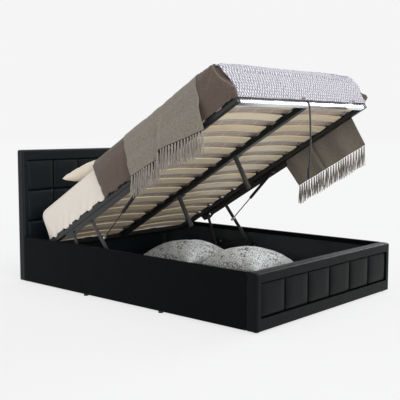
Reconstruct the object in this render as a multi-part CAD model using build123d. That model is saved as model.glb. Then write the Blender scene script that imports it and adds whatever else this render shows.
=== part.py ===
from build123d import *
import math
import os

os.makedirs("parts", exist_ok=True)

# A double ottoman storage bed, drawn raised: the slatted platform is lifted at its foot end.
# X runs across the bed, Y from the foot (-) to the head (+), Z up. Lengths are in millimetres
# and angles in degrees. The origin is under the middle of the bed, on the floor.
# Heights called rise are above the underside of the bed box, which stands on glides.

# Bed box
bed_width = 1450.0
bed_length = 2115.0
rail_height = 313.0
rail_thickness = 30.0
footboard_height = 313.0
footboard_thickness = 73.0
headboard_height = 919.0
headboard_thickness = 70.0
glide_height = 12.0
glide_radius = 16.0
glide_inset = 45.0
glide_count_centre = 3

# Upholstery of the boards and rails
cover_thickness = 3.0
hem_depth = 32.0
hem_thickness = 1.5
rail_edge_radius = 7.0
board_edge_radius = 15.0
board_padding = 14.0
recess_depth = 13.0
panel_side_margin = 40.0
panel_columns = 6
footboard_panel_low = 66.0
footboard_panel_high = 259.0
headboard_panel_low = 199.0
headboard_panel_high = 850.0
headboard_panel_rows = 3
panel_crown = 9.0
panel_edge_radius = 8.0
panel_seam = 1.0

# Storage floor
floor_thickness = 9.0
batten_height = 16.0
batten_width = 20.0
beam_width = 70.0
floor_joint = 2.0
board_clearance = 1.0

# Lifting platform
raised_tilt = 29.84
raised_head_gap = 210.6
raised_head_rise = 247.7
closed_rise = 250.0
closed_foot_gap = 19.0
closed_head_gap = 33.0
tube_width = 30.0
tube_height = 28.0
tube_wall = 2.0
tube_corner = 3.0
tube_side_gap = 10.0
cap_thickness = 2.5
centre_rail_width = 40.0
slat_count = 14
slat_width = 65.0
slat_thickness = 8.0
slat_bow = 12.0
slat_seat = 2.0
first_slat = 70.0
last_slat = 56.0
holder_height = 14.0
holder_reach = 44.0
holder_wall = 3.0
holder_back = 4.0
seat_clearance = 0.3
leg_place_shares = (0.3385, 0.6406)
leg_radius = 15.0
leg_wall = 2.0
leg_plate = 70.0
leg_plate_thickness = 4.0
foot_height = 22.0
foot_radius = 18.0
foot_cup = 14.0
foot_wall = 3.0
landing_clearance = 0.5
retainer_x = 330.0
retainer_width = 60.0
retainer_rise = 95.0
retainer_thickness = 4.0

# Lift mechanism, one each side
bar_lead = 119.0
bar_tail = 76.0
bar_depth = 38.0
bar_thickness = 4.0
bar_flange = 28.0
bar_tip = 52.0
bar_end_radius = 14.0
pivot_drop = 22.0
front_pivot_from_head = 511.5
rear_pivot_from_head = 306.0
strut_pivot_from_head = 1056.0
front_arm_length = 338.0
rear_arm_length = 248.0
arm_thickness = 5.0
front_arm_width = 27.0
front_arm_heel = 40.0
rear_arm_width = 24.0
arm_bar_gap = 4.0
rib_width = 9.0
rib_height = 1.6
strut_eye_along = 192.0
bracket_thickness = 3.0
bracket_lead = 82.5
bracket_tail = 59.0
bracket_under_pins = 38.6
bracket_high = 204.0
bracket_bolt_rise = 186.0
bracket_bolt_inset = 23.0
bracket_bolt_pitch = 168.0
bracket_bolt_count = 3
bracket_arm_gap = 5.0
boss_radius = 15.0
bar_bolt_insets = (35.0, 460.0, 815.0)
pin_radius = 5.0
pin_head_radius = 9.0
pin_head_height = 2.5
pin_clearance = 0.2
face_clearance = 0.3
slot_length = 32.0
slot_width = 16.0
slot_head_margin = 7.0
slot_washer_radius = 13.0

# Gas struts
strut_arm_gap = 26.0
cylinder_radius = 11.0
rod_radius = 4.0
cylinder_length = 264.0
cylinder_wall = 1.5
cylinder_start = 24.0
gland_length = 12.0
piston_length = 14.0
eye_radius = 9.0
eye_width = 10.0
rod_end_length = 26.0
closed_end_gap = 6.0

# Fasteners
bolt_radius = 3.5
bolt_head_flat = 12.0
bolt_head_height = 4.5
bolt_length = 16.0
corner_plate = 45.0
corner_low = 60.0
corner_high = 190.0
corner_bolt_inset = 30.0

# Bedding
mattress_side_inset = 10.0
mattress_thickness = 212.0
mattress_start = 8.0
mattress_end_gap = 16.0
mattress_padding = 25.0
mattress_corner_radius = 55.0
mattress_edge_radius = 60.0
sheet_thickness = 2.5
sheet_skirt = 44.0
soft_gap = 0.4
duvet_pillow_gap = 22.0
duvet_foot = -8.0
duvet_low = 45.0
duvet_low_out = 15.0
duvet_bulge_out = 31.0
duvet_shoulder_out = 26.0
duvet_shoulder_rise = 236.0
duvet_corner_in = 35.0
duvet_corner_rise = 296.0
duvet_crown_rise = 309.0
duvet_foot_radius = 140.0
duvet_lining_out = 6.0
duvet_head_radius = 22.0
blanket_thickness = 7.0
blanket_side_in = 20.0
throw_start = 150.0
throw_width = 690.0
throw_thickness = 5.0
throw_out = 8.0
throw_wave = 3.5
throw_wave_count = 4
throw_clear_rise = 78.0
throw_drop_left = -4.0
throw_drop_right = -195.0
throw_slant_left_share = 0.19
throw_slant_right_share = -0.09
tassel_count = 27
tassel_length = 115.0
tassel_top = 3.0
tassel_bottom = 5.5
tassel_sides = 6
pillow_side_in = 25.0
pillow_middle_gap = 20.0
pillow_depth = 470.0
pillow_head_gap = 212.0
pillow_thickness = 165.0
pillow_edge = 8.0
cushion_size = 482.0
cushion_thickness = 196.0
cushion_foot_side = 54.0
cushion_foot_y = 940.0
cushion_foot_turn = 1.5
cushion_head_side = 102.0
cushion_middle_gap = 62.0
cushion_head_turn = -2.0

# Lift strap
strap_width = 16.0
strap_thickness = 2.2
strap_length = 440.0
strap_loop = 70.0
strap_rivet = 4.0

overrun = 5.0

half_width = bed_width / 2
closed_foot_y = footboard_thickness + closed_foot_gap
platform_length = bed_length - headboard_thickness - closed_head_gap - closed_foot_y
raised_head_y = bed_length - headboard_thickness - raised_head_gap
raised_foot_y = raised_head_y - platform_length * math.cos(math.radians(raised_tilt))
raised_foot_rise = raised_head_rise + platform_length * math.sin(math.radians(raised_tilt))
front_pivot_s = platform_length - front_pivot_from_head
rear_pivot_s = platform_length - rear_pivot_from_head
strut_pivot_s = platform_length - strut_pivot_from_head
bar_start = strut_pivot_s - bar_lead
bar_end = rear_pivot_s + bar_tail
slat_pitch = (platform_length - first_slat - last_slat) / (slat_count - 1)
foot_face = -bed_length / 2
head_front = bed_length / 2 - headboard_thickness
foot_back = foot_face + footboard_thickness
rail_inner = half_width - rail_thickness
rail_core_inner = rail_inner + hem_thickness
floor_top = batten_height + floor_thickness
tube_outer_x = rail_inner - tube_side_gap
bar_outer_x = tube_outer_x
bar_inner_x = bar_outer_x - bar_thickness
arm_outer_x = bar_inner_x - arm_bar_gap
arm_inner_x = arm_outer_x - arm_thickness
flange_outer_x = arm_inner_x - bracket_arm_gap
flange_inner_x = flange_outer_x - bracket_thickness
strut_x = arm_inner_x - strut_arm_gap
mattress_half = tube_outer_x - mattress_side_inset
mattress_length = platform_length - mattress_start - mattress_end_gap
duvet_low_x = mattress_half + duvet_low_out
duvet_bulge_x = mattress_half + duvet_bulge_out
duvet_shoulder_x = mattress_half + duvet_shoulder_out
duvet_corner_x = mattress_half - duvet_corner_in
duvet_lining = mattress_half + duvet_lining_out
blanket_half_width = mattress_half - blanket_side_in
throw_drop_x = half_width + throw_out
pillow_width = mattress_half - pillow_side_in
pillow_x = (pillow_width + pillow_middle_gap) / 2 + pillow_middle_gap / 2
pillow_start = mattress_start + mattress_length - pillow_head_gap - pillow_depth
duvet_end = pillow_start - duvet_pillow_gap
cushion_foot_x = rail_inner - cushion_foot_side - cushion_size / 2
cushion_head_x = rail_inner - cushion_head_side - cushion_size / 2
cushion_head_y = cushion_foot_y + cushion_size + cushion_middle_gap
slat_low = tube_height + slat_seat
mattress_low = slat_low + slat_thickness + slat_bow + soft_gap
mattress_high = mattress_low + mattress_thickness
sheet_high = mattress_high + soft_gap + sheet_thickness
leg_total = closed_rise - floor_top - landing_clearance


# Small builders

def block(x_low, x_high, y_low, y_high, z_low, z_high):
    """A box between two corners."""
    size = Box(x_high - x_low, y_high - y_low, z_high - z_low)
    return Pos((x_low + x_high) / 2, (y_low + y_high) / 2, (z_low + z_high) / 2) * size


def disc(x_low, x_high, y, z, radius):
    """A cylinder along X."""
    solid = Cylinder(radius, x_high - x_low)
    return Pos((x_low + x_high) / 2, y, z) * Rot(0, 90, 0) * solid


def face_of(steps):
    """A flat face from straight steps (two points) and arcs (three points)."""
    edges = []
    for step in steps:
        if len(step) == 2:
            edges.append(Edge.make_line(step[0], step[1]))
        else:
            edges.append(Edge.make_three_point_arc(step[0], step[1], step[2]))
    return Face(Wire(edges))


def polygon(points):
    """A flat face through 3-D points."""
    steps = [(points[i], points[(i + 1) % len(points)]) for i in range(len(points))]
    return face_of(steps)


def slab_yz(outline, x_low, x_high):
    """A plate whose outline is given as (y, z) points, between two X values."""
    face = polygon([(x_low, y, z) for y, z in outline])
    return Solid.extrude(face, Vector(x_high - x_low, 0, 0))


def merged(shapes):
    """One solid from touching shapes."""
    result = shapes[0]
    for shape in shapes[1:]:
        result = result + shape
    return result


def cut(body, tools):
    """A body less each of the tools."""
    for tool in tools:
        body = body - tool
    return body


def other_side(shape):
    """The same piece on the other side of the bed."""
    return mirror(shape, about=Plane.YZ)


def both_sides(shapes):
    """The pieces of the right side and their mirror images."""
    return list(shapes) + [other_side(shape) for shape in shapes]


def write(name, shapes):
    """Write one node, a solid or a group of solids, as a STEP file."""
    if not isinstance(shapes, (list, tuple)):
        shapes = [shapes]
    solids = []
    for shape in shapes:
        solids += shape.solids()
    body = solids[0] if len(solids) == 1 else Compound(children=solids)
    body.label = name
    export_step(body, f"parts/{name}.step")
    print(f"{name}: {len(solids)} solid(s)")


# Places

def raised(shape):
    """Move a piece drawn on the flat platform to the raised pose."""
    return Pos(0, foot_face + raised_foot_y, glide_height + raised_foot_rise) * Rot(-raised_tilt, 0, 0) * shape


def platform_point(s, n, tilt, foot_y, foot_rise):
    """Where a platform point lies, as (y, z), for a tilt and a place of the foot corner."""
    angle = math.radians(tilt)
    y = foot_face + foot_y + s * math.cos(angle) + n * math.sin(angle)
    z = glide_height + foot_rise - s * math.sin(angle) + n * math.cos(angle)
    return y, z


def raised_point(s, n):
    return platform_point(s, n, raised_tilt, raised_foot_y, raised_foot_rise)


def closed_point(s, n):
    return platform_point(s, n, 0, closed_foot_y, closed_rise)


def base_pivot(s, arm_length):
    """The fixed pivot, as far from the raised as from the closed place of its upper pin."""
    y_up, z_up = raised_point(s, -pivot_drop)
    y_down, z_down = closed_point(s, -pivot_drop)
    reach_y = y_down - y_up
    reach_z = z_down - z_up
    gap = math.hypot(reach_y, reach_z)
    height = math.sqrt(arm_length ** 2 - (gap / 2) ** 2)
    y = (y_up + y_down) / 2 + height * reach_z / gap
    z = (z_up + z_down) / 2 - height * reach_y / gap
    return y, z


def heading(start, end):
    """The angle from one (y, z) point to another, from +Y towards +Z."""
    return math.degrees(math.atan2(end[1] - start[1], end[0] - start[0]))


def swung(pivot, angle, shape):
    """A piece drawn along +Y from the origin, turned about X and moved to its pivot."""
    return Pos(0, pivot[0], pivot[1]) * Rot(angle, 0, 0) * shape


front_base = base_pivot(front_pivot_s, front_arm_length)
rear_base = base_pivot(rear_pivot_s, rear_arm_length)
front_top = raised_point(front_pivot_s, -pivot_drop)
front_top_closed = closed_point(front_pivot_s, -pivot_drop)
rear_top = raised_point(rear_pivot_s, -pivot_drop)
rear_top_closed = closed_point(rear_pivot_s, -pivot_drop)
strut_top = raised_point(strut_pivot_s, -pivot_drop)
strut_top_closed = closed_point(strut_pivot_s, -pivot_drop)
front_angle = heading(front_base, front_top)
front_angle_closed = heading(front_base, front_top_closed)
rear_angle = heading(rear_base, rear_top)
rear_angle_closed = heading(rear_base, rear_top_closed)


def on_front_arm(along, angle):
    turn = math.radians(angle)
    return front_base[0] + along * math.cos(turn), front_base[1] + along * math.sin(turn)


strut_foot = on_front_arm(strut_eye_along, front_angle)
strut_foot_closed = on_front_arm(strut_eye_along, front_angle_closed)
strut_angle = heading(strut_top, strut_foot)
strut_angle_closed = heading(strut_top_closed, strut_foot_closed)
strut_long = math.dist(strut_top, strut_foot)
strut_short = math.dist(strut_top_closed, strut_foot_closed)


# Fasteners

def bolt(length):
    """A hexagon bolt: its head's underside is at the origin and its shank runs along +X."""
    head = Pos(-bolt_head_height / 2, 0, 0) * Rot(0, 90, 0) * extrude(
        RegularPolygon(bolt_head_flat / 2, 6, major_radius=False), bolt_head_height / 2, both=True)
    shank = disc(0, length, 0, 0, bolt_radius)
    return head + shank


def bolt_hole(length):
    """The hole for a bolt: its shank with no clearance in wood or plate."""
    return disc(-overrun, length + seat_clearance, 0, 0, bolt_radius)


def corner_bolt_places():
    """Right-hand places of the bolts in the corner brackets, with the way their shanks point."""
    rises = (corner_low + corner_bolt_inset, corner_high - corner_bolt_inset)
    outward = Rot(0, 0, 0)
    places = []
    for rise in rises:
        z = glide_height + rise
        for board_y, inward in ((foot_back, 1), (head_front, -1)):
            rail_y = board_y + inward * corner_bolt_inset
            places.append(Pos(rail_core_inner - bracket_thickness, rail_y, z) * outward)
            face_y = board_y + inward * bracket_thickness
            places.append(Pos(rail_core_inner - corner_bolt_inset, face_y, z) * Rot(0, 0, -90 * inward))
    return places


def bracket_bolt_places():
    """Right-hand places of the bolts that hold the mechanism's base bracket to the rail."""
    x = rail_core_inner - bracket_thickness
    z = glide_height + bracket_bolt_rise
    places = []
    for i in range(bracket_bolt_count):
        y = front_base[0] - bracket_lead + bracket_bolt_inset + i * bracket_bolt_pitch
        places.append(Pos(x, y, z))
    return places


wood_holes = []
for place in corner_bolt_places() + bracket_bolt_places():
    wood_holes.append(place * bolt_hole(bolt_length))
all_holes = both_sides(wood_holes)


# Bed box

def board_core(y_low, y_high, height):
    """The timber panel inside an upholstered board, open to the floor side."""
    x = half_width - board_padding
    panel = block(-x, x, y_low + board_padding, y_high - cover_thickness,
                  glide_height, glide_height + height - board_padding)
    return cut(panel, all_holes)


def board_cover(y_low, y_high, height, panel_low, panel_high):
    """The padded cover of a board, with the recess for its stitched squares on the foot side."""
    outer = block(-half_width, half_width, y_low, y_high, glide_height, glide_height + height)
    rounded = [edge for edge in outer.edges()
               if edge.center().Z > glide_height + height / 2 or abs(edge.center().X) > half_width - overrun]
    bottom = glide_height + overrun
    rounded = [edge for edge in rounded if edge.center().Z > bottom]
    outer = fillet(rounded, board_edge_radius)
    margin = half_width - panel_side_margin
    recess = block(-margin, margin, y_low - overrun, y_low + recess_depth,
                   glide_height + panel_low, glide_height + panel_high)
    x = half_width - board_padding
    hollow = block(-x, x, y_low + board_padding, y_high - cover_thickness,
                   glide_height - overrun, glide_height + height - board_padding)
    return cut(outer, [recess, hollow] + all_holes)


def padded_squares(y_low, panel_low, panel_high, rows):
    """The stitched, padded squares in a board's recess."""
    margin = half_width - panel_side_margin
    pitch_x = 2 * margin / panel_columns
    pitch_z = (panel_high - panel_low) / rows
    back = y_low + recess_depth
    squares = []
    for row in range(rows):
        for column in range(panel_columns):
            x = -margin + column * pitch_x
            z = glide_height + panel_low + row * pitch_z
            pad = block(x + panel_seam / 2, x + pitch_x - panel_seam / 2, back - panel_crown, back,
                        z + panel_seam / 2, z + pitch_z - panel_seam / 2)
            front = pad.edges().filter_by(lambda edge: edge.center().Y < back - panel_crown + overrun / 2)
            squares.append(fillet(front, panel_edge_radius))
    return squares


def rail_core():
    """The right side rail's board, drilled for its bolts."""
    board = block(rail_core_inner, half_width - cover_thickness, foot_back, head_front,
                  glide_height, glide_height + rail_height - cover_thickness)
    return cut(board, wood_holes)


def rail_cover():
    """The right rail's cover: outer face, top and a stapled hem on the inner face."""
    z_top = glide_height + rail_height
    outer = block(rail_inner, half_width, foot_back, head_front, glide_height, z_top)
    top = [edge for edge in outer.edges().filter_by(Axis.Y) if edge.center().Z > z_top - overrun]
    outer = fillet(top, rail_edge_radius)
    core = block(rail_core_inner, half_width - cover_thickness, foot_back - overrun, head_front + overrun,
                 glide_height - overrun, z_top - cover_thickness)
    below_hem = block(rail_inner - overrun, rail_core_inner, foot_back - overrun, head_front + overrun,
                      glide_height - overrun, z_top - hem_depth)
    return cut(outer, [core, below_hem])


def corner_bracket(board_y, inward):
    """A right-hand angle bracket joining a rail to a board."""
    z_low = glide_height + corner_low
    z_high = glide_height + corner_high
    y_far = board_y + inward * corner_plate
    y_plate = board_y + inward * bracket_thickness
    on_rail = block(rail_core_inner - bracket_thickness, rail_core_inner, min(board_y, y_far), max(board_y, y_far),
                    z_low, z_high)
    on_board = block(rail_core_inner - corner_plate, rail_core_inner, min(board_y, y_plate),
                     max(board_y, y_plate), z_low, z_high)
    return cut(on_rail + on_board, wood_holes)


def floor_pieces():
    """The two floor panels of the storage space."""
    z = glide_height + batten_height
    panel = block(floor_joint / 2, rail_core_inner - board_clearance, foot_back + board_clearance,
                  head_front - board_clearance, z, z + floor_thickness)
    return both_sides([panel])


def floor_battens():
    """Battens along the rails and the beam under the joint of the floor."""
    y_low = foot_back + board_clearance
    y_high = head_front - board_clearance
    z_high = glide_height + batten_height
    side = block(rail_core_inner - batten_width, rail_core_inner, y_low, y_high, glide_height, z_high)
    beam = block(-beam_width / 2, beam_width / 2, y_low, y_high, glide_height, z_high)
    return both_sides([side]) + [beam]


def glides():
    """The plastic glides that carry the bed."""
    foot_y = foot_face + footboard_thickness / 2
    head_y = head_front + headboard_thickness / 2
    rail_x = half_width - rail_thickness / 2
    side_x = half_width - glide_inset
    spots = []
    for x in (-side_x, side_x):
        spots.append((x, foot_y))
        spots.append((x, head_y))
    for x in (-rail_x, rail_x):
        spots.append((x, foot_y + (head_y - foot_y) / 3))
        spots.append((x, foot_y + 2 * (head_y - foot_y) / 3))
    for i in range(glide_count_centre):
        spots.append((0, foot_y + (head_y - foot_y) * (i + 1) / (glide_count_centre + 1)))
    radius = min(glide_radius, rail_thickness / 2)
    return [Pos(x, y, glide_height / 2) * Cylinder(radius, glide_height) for x, y in spots]


def storage_cushion(centre_x, centre_y, turn):
    """A loose cushion lying on the storage floor."""
    shape = pillow_form(cushion_size, cushion_size, cushion_thickness, pillow_edge)
    z = glide_height + floor_top + soft_gap
    return Pos(centre_x, foot_face + centre_y, z) * Rot(0, 0, turn) * shape


# Platform frame, drawn flat: Y is the distance s from its foot end, Z the height n

def side_tube():
    """The right side tube of the frame."""
    x_low = tube_outer_x - tube_width
    outer = block(x_low, tube_outer_x, 0, platform_length, 0, tube_height)
    outer = fillet(outer.edges().filter_by(Axis.Y), tube_corner)
    inner = block(x_low + tube_wall, tube_outer_x - tube_wall, -overrun, platform_length + overrun,
                  tube_wall, tube_height - tube_wall)
    return outer - inner


def tube_caps():
    """Plastic caps in the open ends of the side tubes."""
    x_low = tube_outer_x - tube_width
    caps = []
    for s, into in ((0, 1), (platform_length, -1)):
        plug_far = s + into * tube_width / 2
        lip_far = s - into * cap_thickness
        plug = block(x_low + tube_wall, tube_outer_x - tube_wall, min(s, plug_far), max(s, plug_far),
                     tube_wall, tube_height - tube_wall)
        lip = block(x_low, tube_outer_x, min(s, lip_far), max(s, lip_far), 0, tube_height)
        caps.append(plug + lip)
    return both_sides(caps)


def cross_tube(s_low):
    """A cross tube between the side tubes."""
    x = tube_outer_x - tube_width
    outer = block(-x, x, s_low, s_low + tube_width, 0, tube_height)
    inner = block(-x - overrun, x + overrun, s_low + tube_wall, s_low + tube_width - tube_wall,
                  tube_wall, tube_height - tube_wall)
    return outer - inner


def centre_rail():
    """The rail along the middle that carries the slats' inner ends."""
    x = centre_rail_width / 2
    outer = block(-x, x, tube_width, platform_length - tube_width, 0, tube_height)
    inner = block(-x + tube_wall, x - tube_wall, tube_width - overrun, platform_length - tube_width + overrun,
                  tube_wall, tube_height - tube_wall)
    return outer - inner


def slat(s):
    """One sprung slat of the right column, bowed up between its straight ends."""
    x_in = holder_wall + seat_clearance
    x_out = tube_outer_x - holder_back - seat_clearance
    x_mid = (x_in + x_out) / 2
    a = x_in + holder_reach
    b = x_out - holder_reach
    low = slat_low
    high = low + slat_thickness
    s_low = s - slat_width / 2
    steps = [
        ((x_in, s_low, low), (a, s_low, low)),
        ((a, s_low, low), (x_mid, s_low, low + slat_bow), (b, s_low, low)),
        ((b, s_low, low), (x_out, s_low, low)),
        ((x_out, s_low, low), (x_out, s_low, high)),
        ((x_out, s_low, high), (b, s_low, high)),
        ((b, s_low, high), (x_mid, s_low, high + slat_bow), (a, s_low, high)),
        ((a, s_low, high), (x_in, s_low, high)),
        ((x_in, s_low, high), (x_in, s_low, low)),
    ]
    return Solid.extrude(face_of(steps), Vector(0, slat_width, 0))


def slat_places():
    return [first_slat + i * slat_pitch for i in range(slat_count)]


def side_holder(s):
    """The plastic holder on the side tube for one slat's outer end."""
    half = slat_width / 2 + holder_wall
    body = block(tube_outer_x - holder_reach, tube_outer_x - board_clearance, s - half, s + half,
                 tube_height, tube_height + holder_height)
    rounded = body.edges().filter_by(Axis.Y).sort_by(Axis.Z)[-2:]
    body = chamfer(rounded, holder_wall / 2)
    pocket_half = slat_width / 2 + seat_clearance
    pocket = block(tube_outer_x - holder_reach - overrun, tube_outer_x - holder_back, s - pocket_half,
                   s + pocket_half, slat_low - seat_clearance, slat_low + slat_thickness + seat_clearance)
    return body - pocket


def centre_holder(s):
    """The double holder on the centre rail for two slats' inner ends."""
    half = slat_width / 2 + holder_wall
    reach = holder_reach - holder_wall
    body = block(-reach, reach, s - half, s + half, tube_height, tube_height + holder_height)
    rounded = body.edges().filter_by(Axis.Y).sort_by(Axis.Z)[-2:]
    body = chamfer(rounded, holder_wall / 2)
    pocket_half = slat_width / 2 + seat_clearance
    tools = []
    for side in (-1, 1):
        x_far = side * (reach + overrun)
        x_web = side * holder_wall
        tools.append(block(min(x_far, x_web), max(x_far, x_web), s - pocket_half, s + pocket_half,
                           slat_low - seat_clearance, slat_low + slat_thickness + seat_clearance))
    return cut(body, tools)


def leg_places():
    return [share * platform_length for share in leg_place_shares]


def centre_leg(s):
    """A tube leg under the centre rail, with its fixing plate."""
    plate = block(-leg_plate / 2, leg_plate / 2, s - leg_plate / 2, s + leg_plate / 2, -leg_plate_thickness, 0)
    tube_low = -(leg_total - foot_wall)
    length = -leg_plate_thickness - tube_low
    outer = Pos(0, s, tube_low + length / 2) * Cylinder(leg_radius, length)
    bore = Pos(0, s, tube_low + length / 2 - overrun) * Cylinder(leg_radius - leg_wall, length)
    return (outer - bore) + plate


def leg_foot(s):
    """The rubber foot pushed over the end of a leg."""
    outer = Pos(0, s, -leg_total + foot_height / 2) * Cylinder(foot_radius, foot_height)
    top = -leg_total + foot_height
    cup_low = -(leg_total - foot_wall)
    depth = top - cup_low + overrun
    cup = Pos(0, s, cup_low + depth / 2) * Cylinder(leg_radius + soft_gap, depth)
    return outer - cup


def retainer():
    """The upright plate at the head tube that stops the mattress sliding, right-hand one."""
    x = retainer_x
    s_high = platform_length - cap_thickness
    s_low = s_high - retainer_thickness
    foot = block(x - retainer_width / 2, x + retainer_width / 2, s_high - tube_width + retainer_thickness,
                 s_high, tube_height, tube_height + retainer_thickness)
    upright = block(x - retainer_width / 2, x + retainer_width / 2, s_low, s_high, tube_height, retainer_rise)
    return foot + upright


# Lift mechanism, right-hand side

def mechanism_bar():
    """The angle bar bolted under the side tube, with its pivot holes and the rear slot."""
    tip_s = bar_end - bar_end_radius
    outline = [(bar_start, 0), (bar_start, -bar_depth + bar_end_radius), (bar_start + bar_end_radius, -bar_depth),
               (rear_pivot_s - bar_tip, -bar_depth), (rear_pivot_s, -bar_tip), (tip_s, -bar_depth),
               (bar_end, 0)]
    web = slab_yz(outline, bar_inner_x, bar_outer_x)
    flange = block(bar_outer_x - bar_flange, bar_outer_x, bar_start, bar_end, -bar_thickness, 0)
    bar = web + flange
    holes = []
    for s in (front_pivot_s, strut_pivot_s):
        holes.append(disc(bar_inner_x - overrun, bar_outer_x + overrun, s, -pivot_drop, pin_radius))
    slot_mid = rear_pivot_s + slot_head_margin - slot_length / 2
    straight = (slot_length - slot_width) / 2
    for s in (slot_mid - straight, slot_mid + straight):
        holes.append(disc(bar_inner_x - overrun, bar_outer_x + overrun, s, -pivot_drop, slot_width / 2))
    holes.append(block(bar_inner_x - overrun, bar_outer_x + overrun, slot_mid - straight, slot_mid + straight,
                       -pivot_drop - slot_width / 2, -pivot_drop + slot_width / 2))
    return cut(bar, holes)


def bar_bolt_places():
    return [bar_start + inset for inset in bar_bolt_insets]


def bar_bolts():
    """Bolts up through the bar's flange into the side tube."""
    x = bar_outer_x - bar_flange / 2 - bar_thickness / 2
    bolts = []
    for s in bar_bolt_places():
        body = Pos(x, s, -bar_thickness) * Rot(0, -90, 0) * bolt(bar_thickness)
        bolts.append(body)
    return bolts


def bar_bolt_holes():
    x = bar_outer_x - bar_flange / 2 - bar_thickness / 2
    return [Pos(x, s, -bar_thickness) * Rot(0, -90, 0) * bolt_hole(bar_thickness) for s in bar_bolt_places()]


def base_bracket():
    """The channel bracket on the rail that carries the lower pivots."""
    z_low = min(front_base[1], rear_base[1]) - bracket_under_pins
    z_high = glide_height + bracket_high
    y_low = front_base[0] - bracket_lead
    y_high = rear_base[0] + bracket_tail
    outer = block(rail_core_inner - bracket_thickness, rail_core_inner, y_low, y_high, z_low, z_high)
    web = block(flange_inner_x, rail_core_inner, y_low, y_high, z_low, z_low + bracket_thickness)
    top_front = front_base[1] + boss_radius
    top_rear = rear_base[1] + boss_radius
    outline = [(y_low, z_low), (y_high, z_low), (y_high, top_rear - boss_radius), (rear_base[0] + boss_radius, top_rear),
               (rear_base[0] - boss_radius, top_rear), (front_base[0] + boss_radius, top_front),
               (front_base[0] - boss_radius, top_front), (y_low, top_rear)]
    inner = slab_yz(outline, flange_inner_x, flange_outer_x)
    holes = [disc(flange_inner_x - overrun, flange_outer_x + overrun, front_base[0], front_base[1], pin_radius),
             disc(flange_inner_x - overrun, flange_outer_x + overrun, rear_base[0], rear_base[1], pin_radius)]
    return cut(merged([outer, web, inner]), holes + wood_holes)


def flat_arm(length, width, heel):
    """A flat arm with round ends, drawn along +Y from its lower pivot."""
    long = length + heel
    centre = (length - heel) / 2
    profile = Plane.YZ * SlotCenterToCenter(long, width)
    plate = Pos(arm_inner_x, centre, 0) * extrude(profile, arm_thickness)
    hole_low = arm_inner_x - overrun
    hole_high = arm_outer_x + overrun
    return plate, hole_low, hole_high


def front_arm():
    """The front arm, ribbed along its middle, with its heel past the lower pivot."""
    plate, hole_low, hole_high = flat_arm(front_arm_length, front_arm_width, front_arm_heel)
    inset = front_arm_width
    rib = block(arm_outer_x, arm_outer_x + rib_height, inset, front_arm_length - inset,
                -rib_width / 2, rib_width / 2)
    arm = plate + rib
    running = pin_radius + pin_clearance
    holes = [disc(hole_low, hole_high, 0, 0, running), disc(hole_low, hole_high, front_arm_length, 0, running)]
    return cut(arm, holes)


def rear_arm():
    """The rear arm, with the pin that rides in the bar's slot."""
    plate, hole_low, hole_high = flat_arm(rear_arm_length, rear_arm_width, 0)
    arm = plate - disc(hole_low, hole_high, 0, 0, pin_radius + pin_clearance)
    return arm - disc(hole_low, hole_high, rear_arm_length, 0, pin_radius)


def rear_arm_pin():
    """The pin fixed in the rear arm's top end, with its head and outer washer."""
    y, z = rear_top
    shaft = disc(arm_inner_x, bar_outer_x + face_clearance, y, z, pin_radius)
    head = disc(arm_inner_x - pin_head_height, arm_inner_x, y, z, pin_head_radius)
    washer = disc(bar_outer_x + face_clearance, bar_outer_x + face_clearance + pin_head_height, y, z,
                  slot_washer_radius)
    return merged([shaft, head, washer])


def lower_pins():
    """The shouldered pins riveted in the base bracket."""
    pins = []
    for y, z in (front_base, rear_base):
        shaft = disc(flange_inner_x, arm_outer_x + face_clearance, y, z, pin_radius)
        tail = disc(flange_inner_x - pin_head_height, flange_inner_x, y, z, pin_head_radius)
        head = disc(arm_outer_x + face_clearance, arm_outer_x + face_clearance + pin_head_height, y, z,
                    pin_head_radius)
        spacer = disc(flange_outer_x, arm_inner_x - face_clearance, y, z, pin_head_radius)
        pins.append(merged([shaft, tail, head, spacer]))
    return pins


def front_top_pin():
    """The pin in the bar that carries the front arm's top end, drawn on the flat platform."""
    s = front_pivot_s
    n = -pivot_drop
    shaft = disc(arm_inner_x - face_clearance, bar_outer_x, s, n, pin_radius)
    head = disc(bar_outer_x, bar_outer_x + pin_head_height, s, n, pin_head_radius)
    tail = disc(arm_inner_x - face_clearance - pin_head_height, arm_inner_x - face_clearance, s, n, pin_head_radius)
    spacer = disc(arm_outer_x + face_clearance, bar_inner_x, s, n, pin_head_radius)
    return merged([shaft, head, tail, spacer])


def strut_top_pin():
    """The ball stud in the bar that carries the gas strut's upper eye, drawn flat."""
    s = strut_pivot_s
    n = -pivot_drop
    x_inner = strut_x - eye_width / 2 - face_clearance
    shaft = disc(x_inner, bar_outer_x, s, n, pin_radius)
    head = disc(bar_outer_x, bar_outer_x + pin_head_height, s, n, pin_head_radius)
    tail = disc(x_inner - pin_head_height, x_inner, s, n, pin_head_radius)
    spacer = disc(strut_x + eye_width / 2 + face_clearance, bar_inner_x, s, n, pin_head_radius)
    return merged([shaft, head, tail, spacer])


# Gas strut, drawn along +Y from its upper eye at x = strut_x

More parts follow.
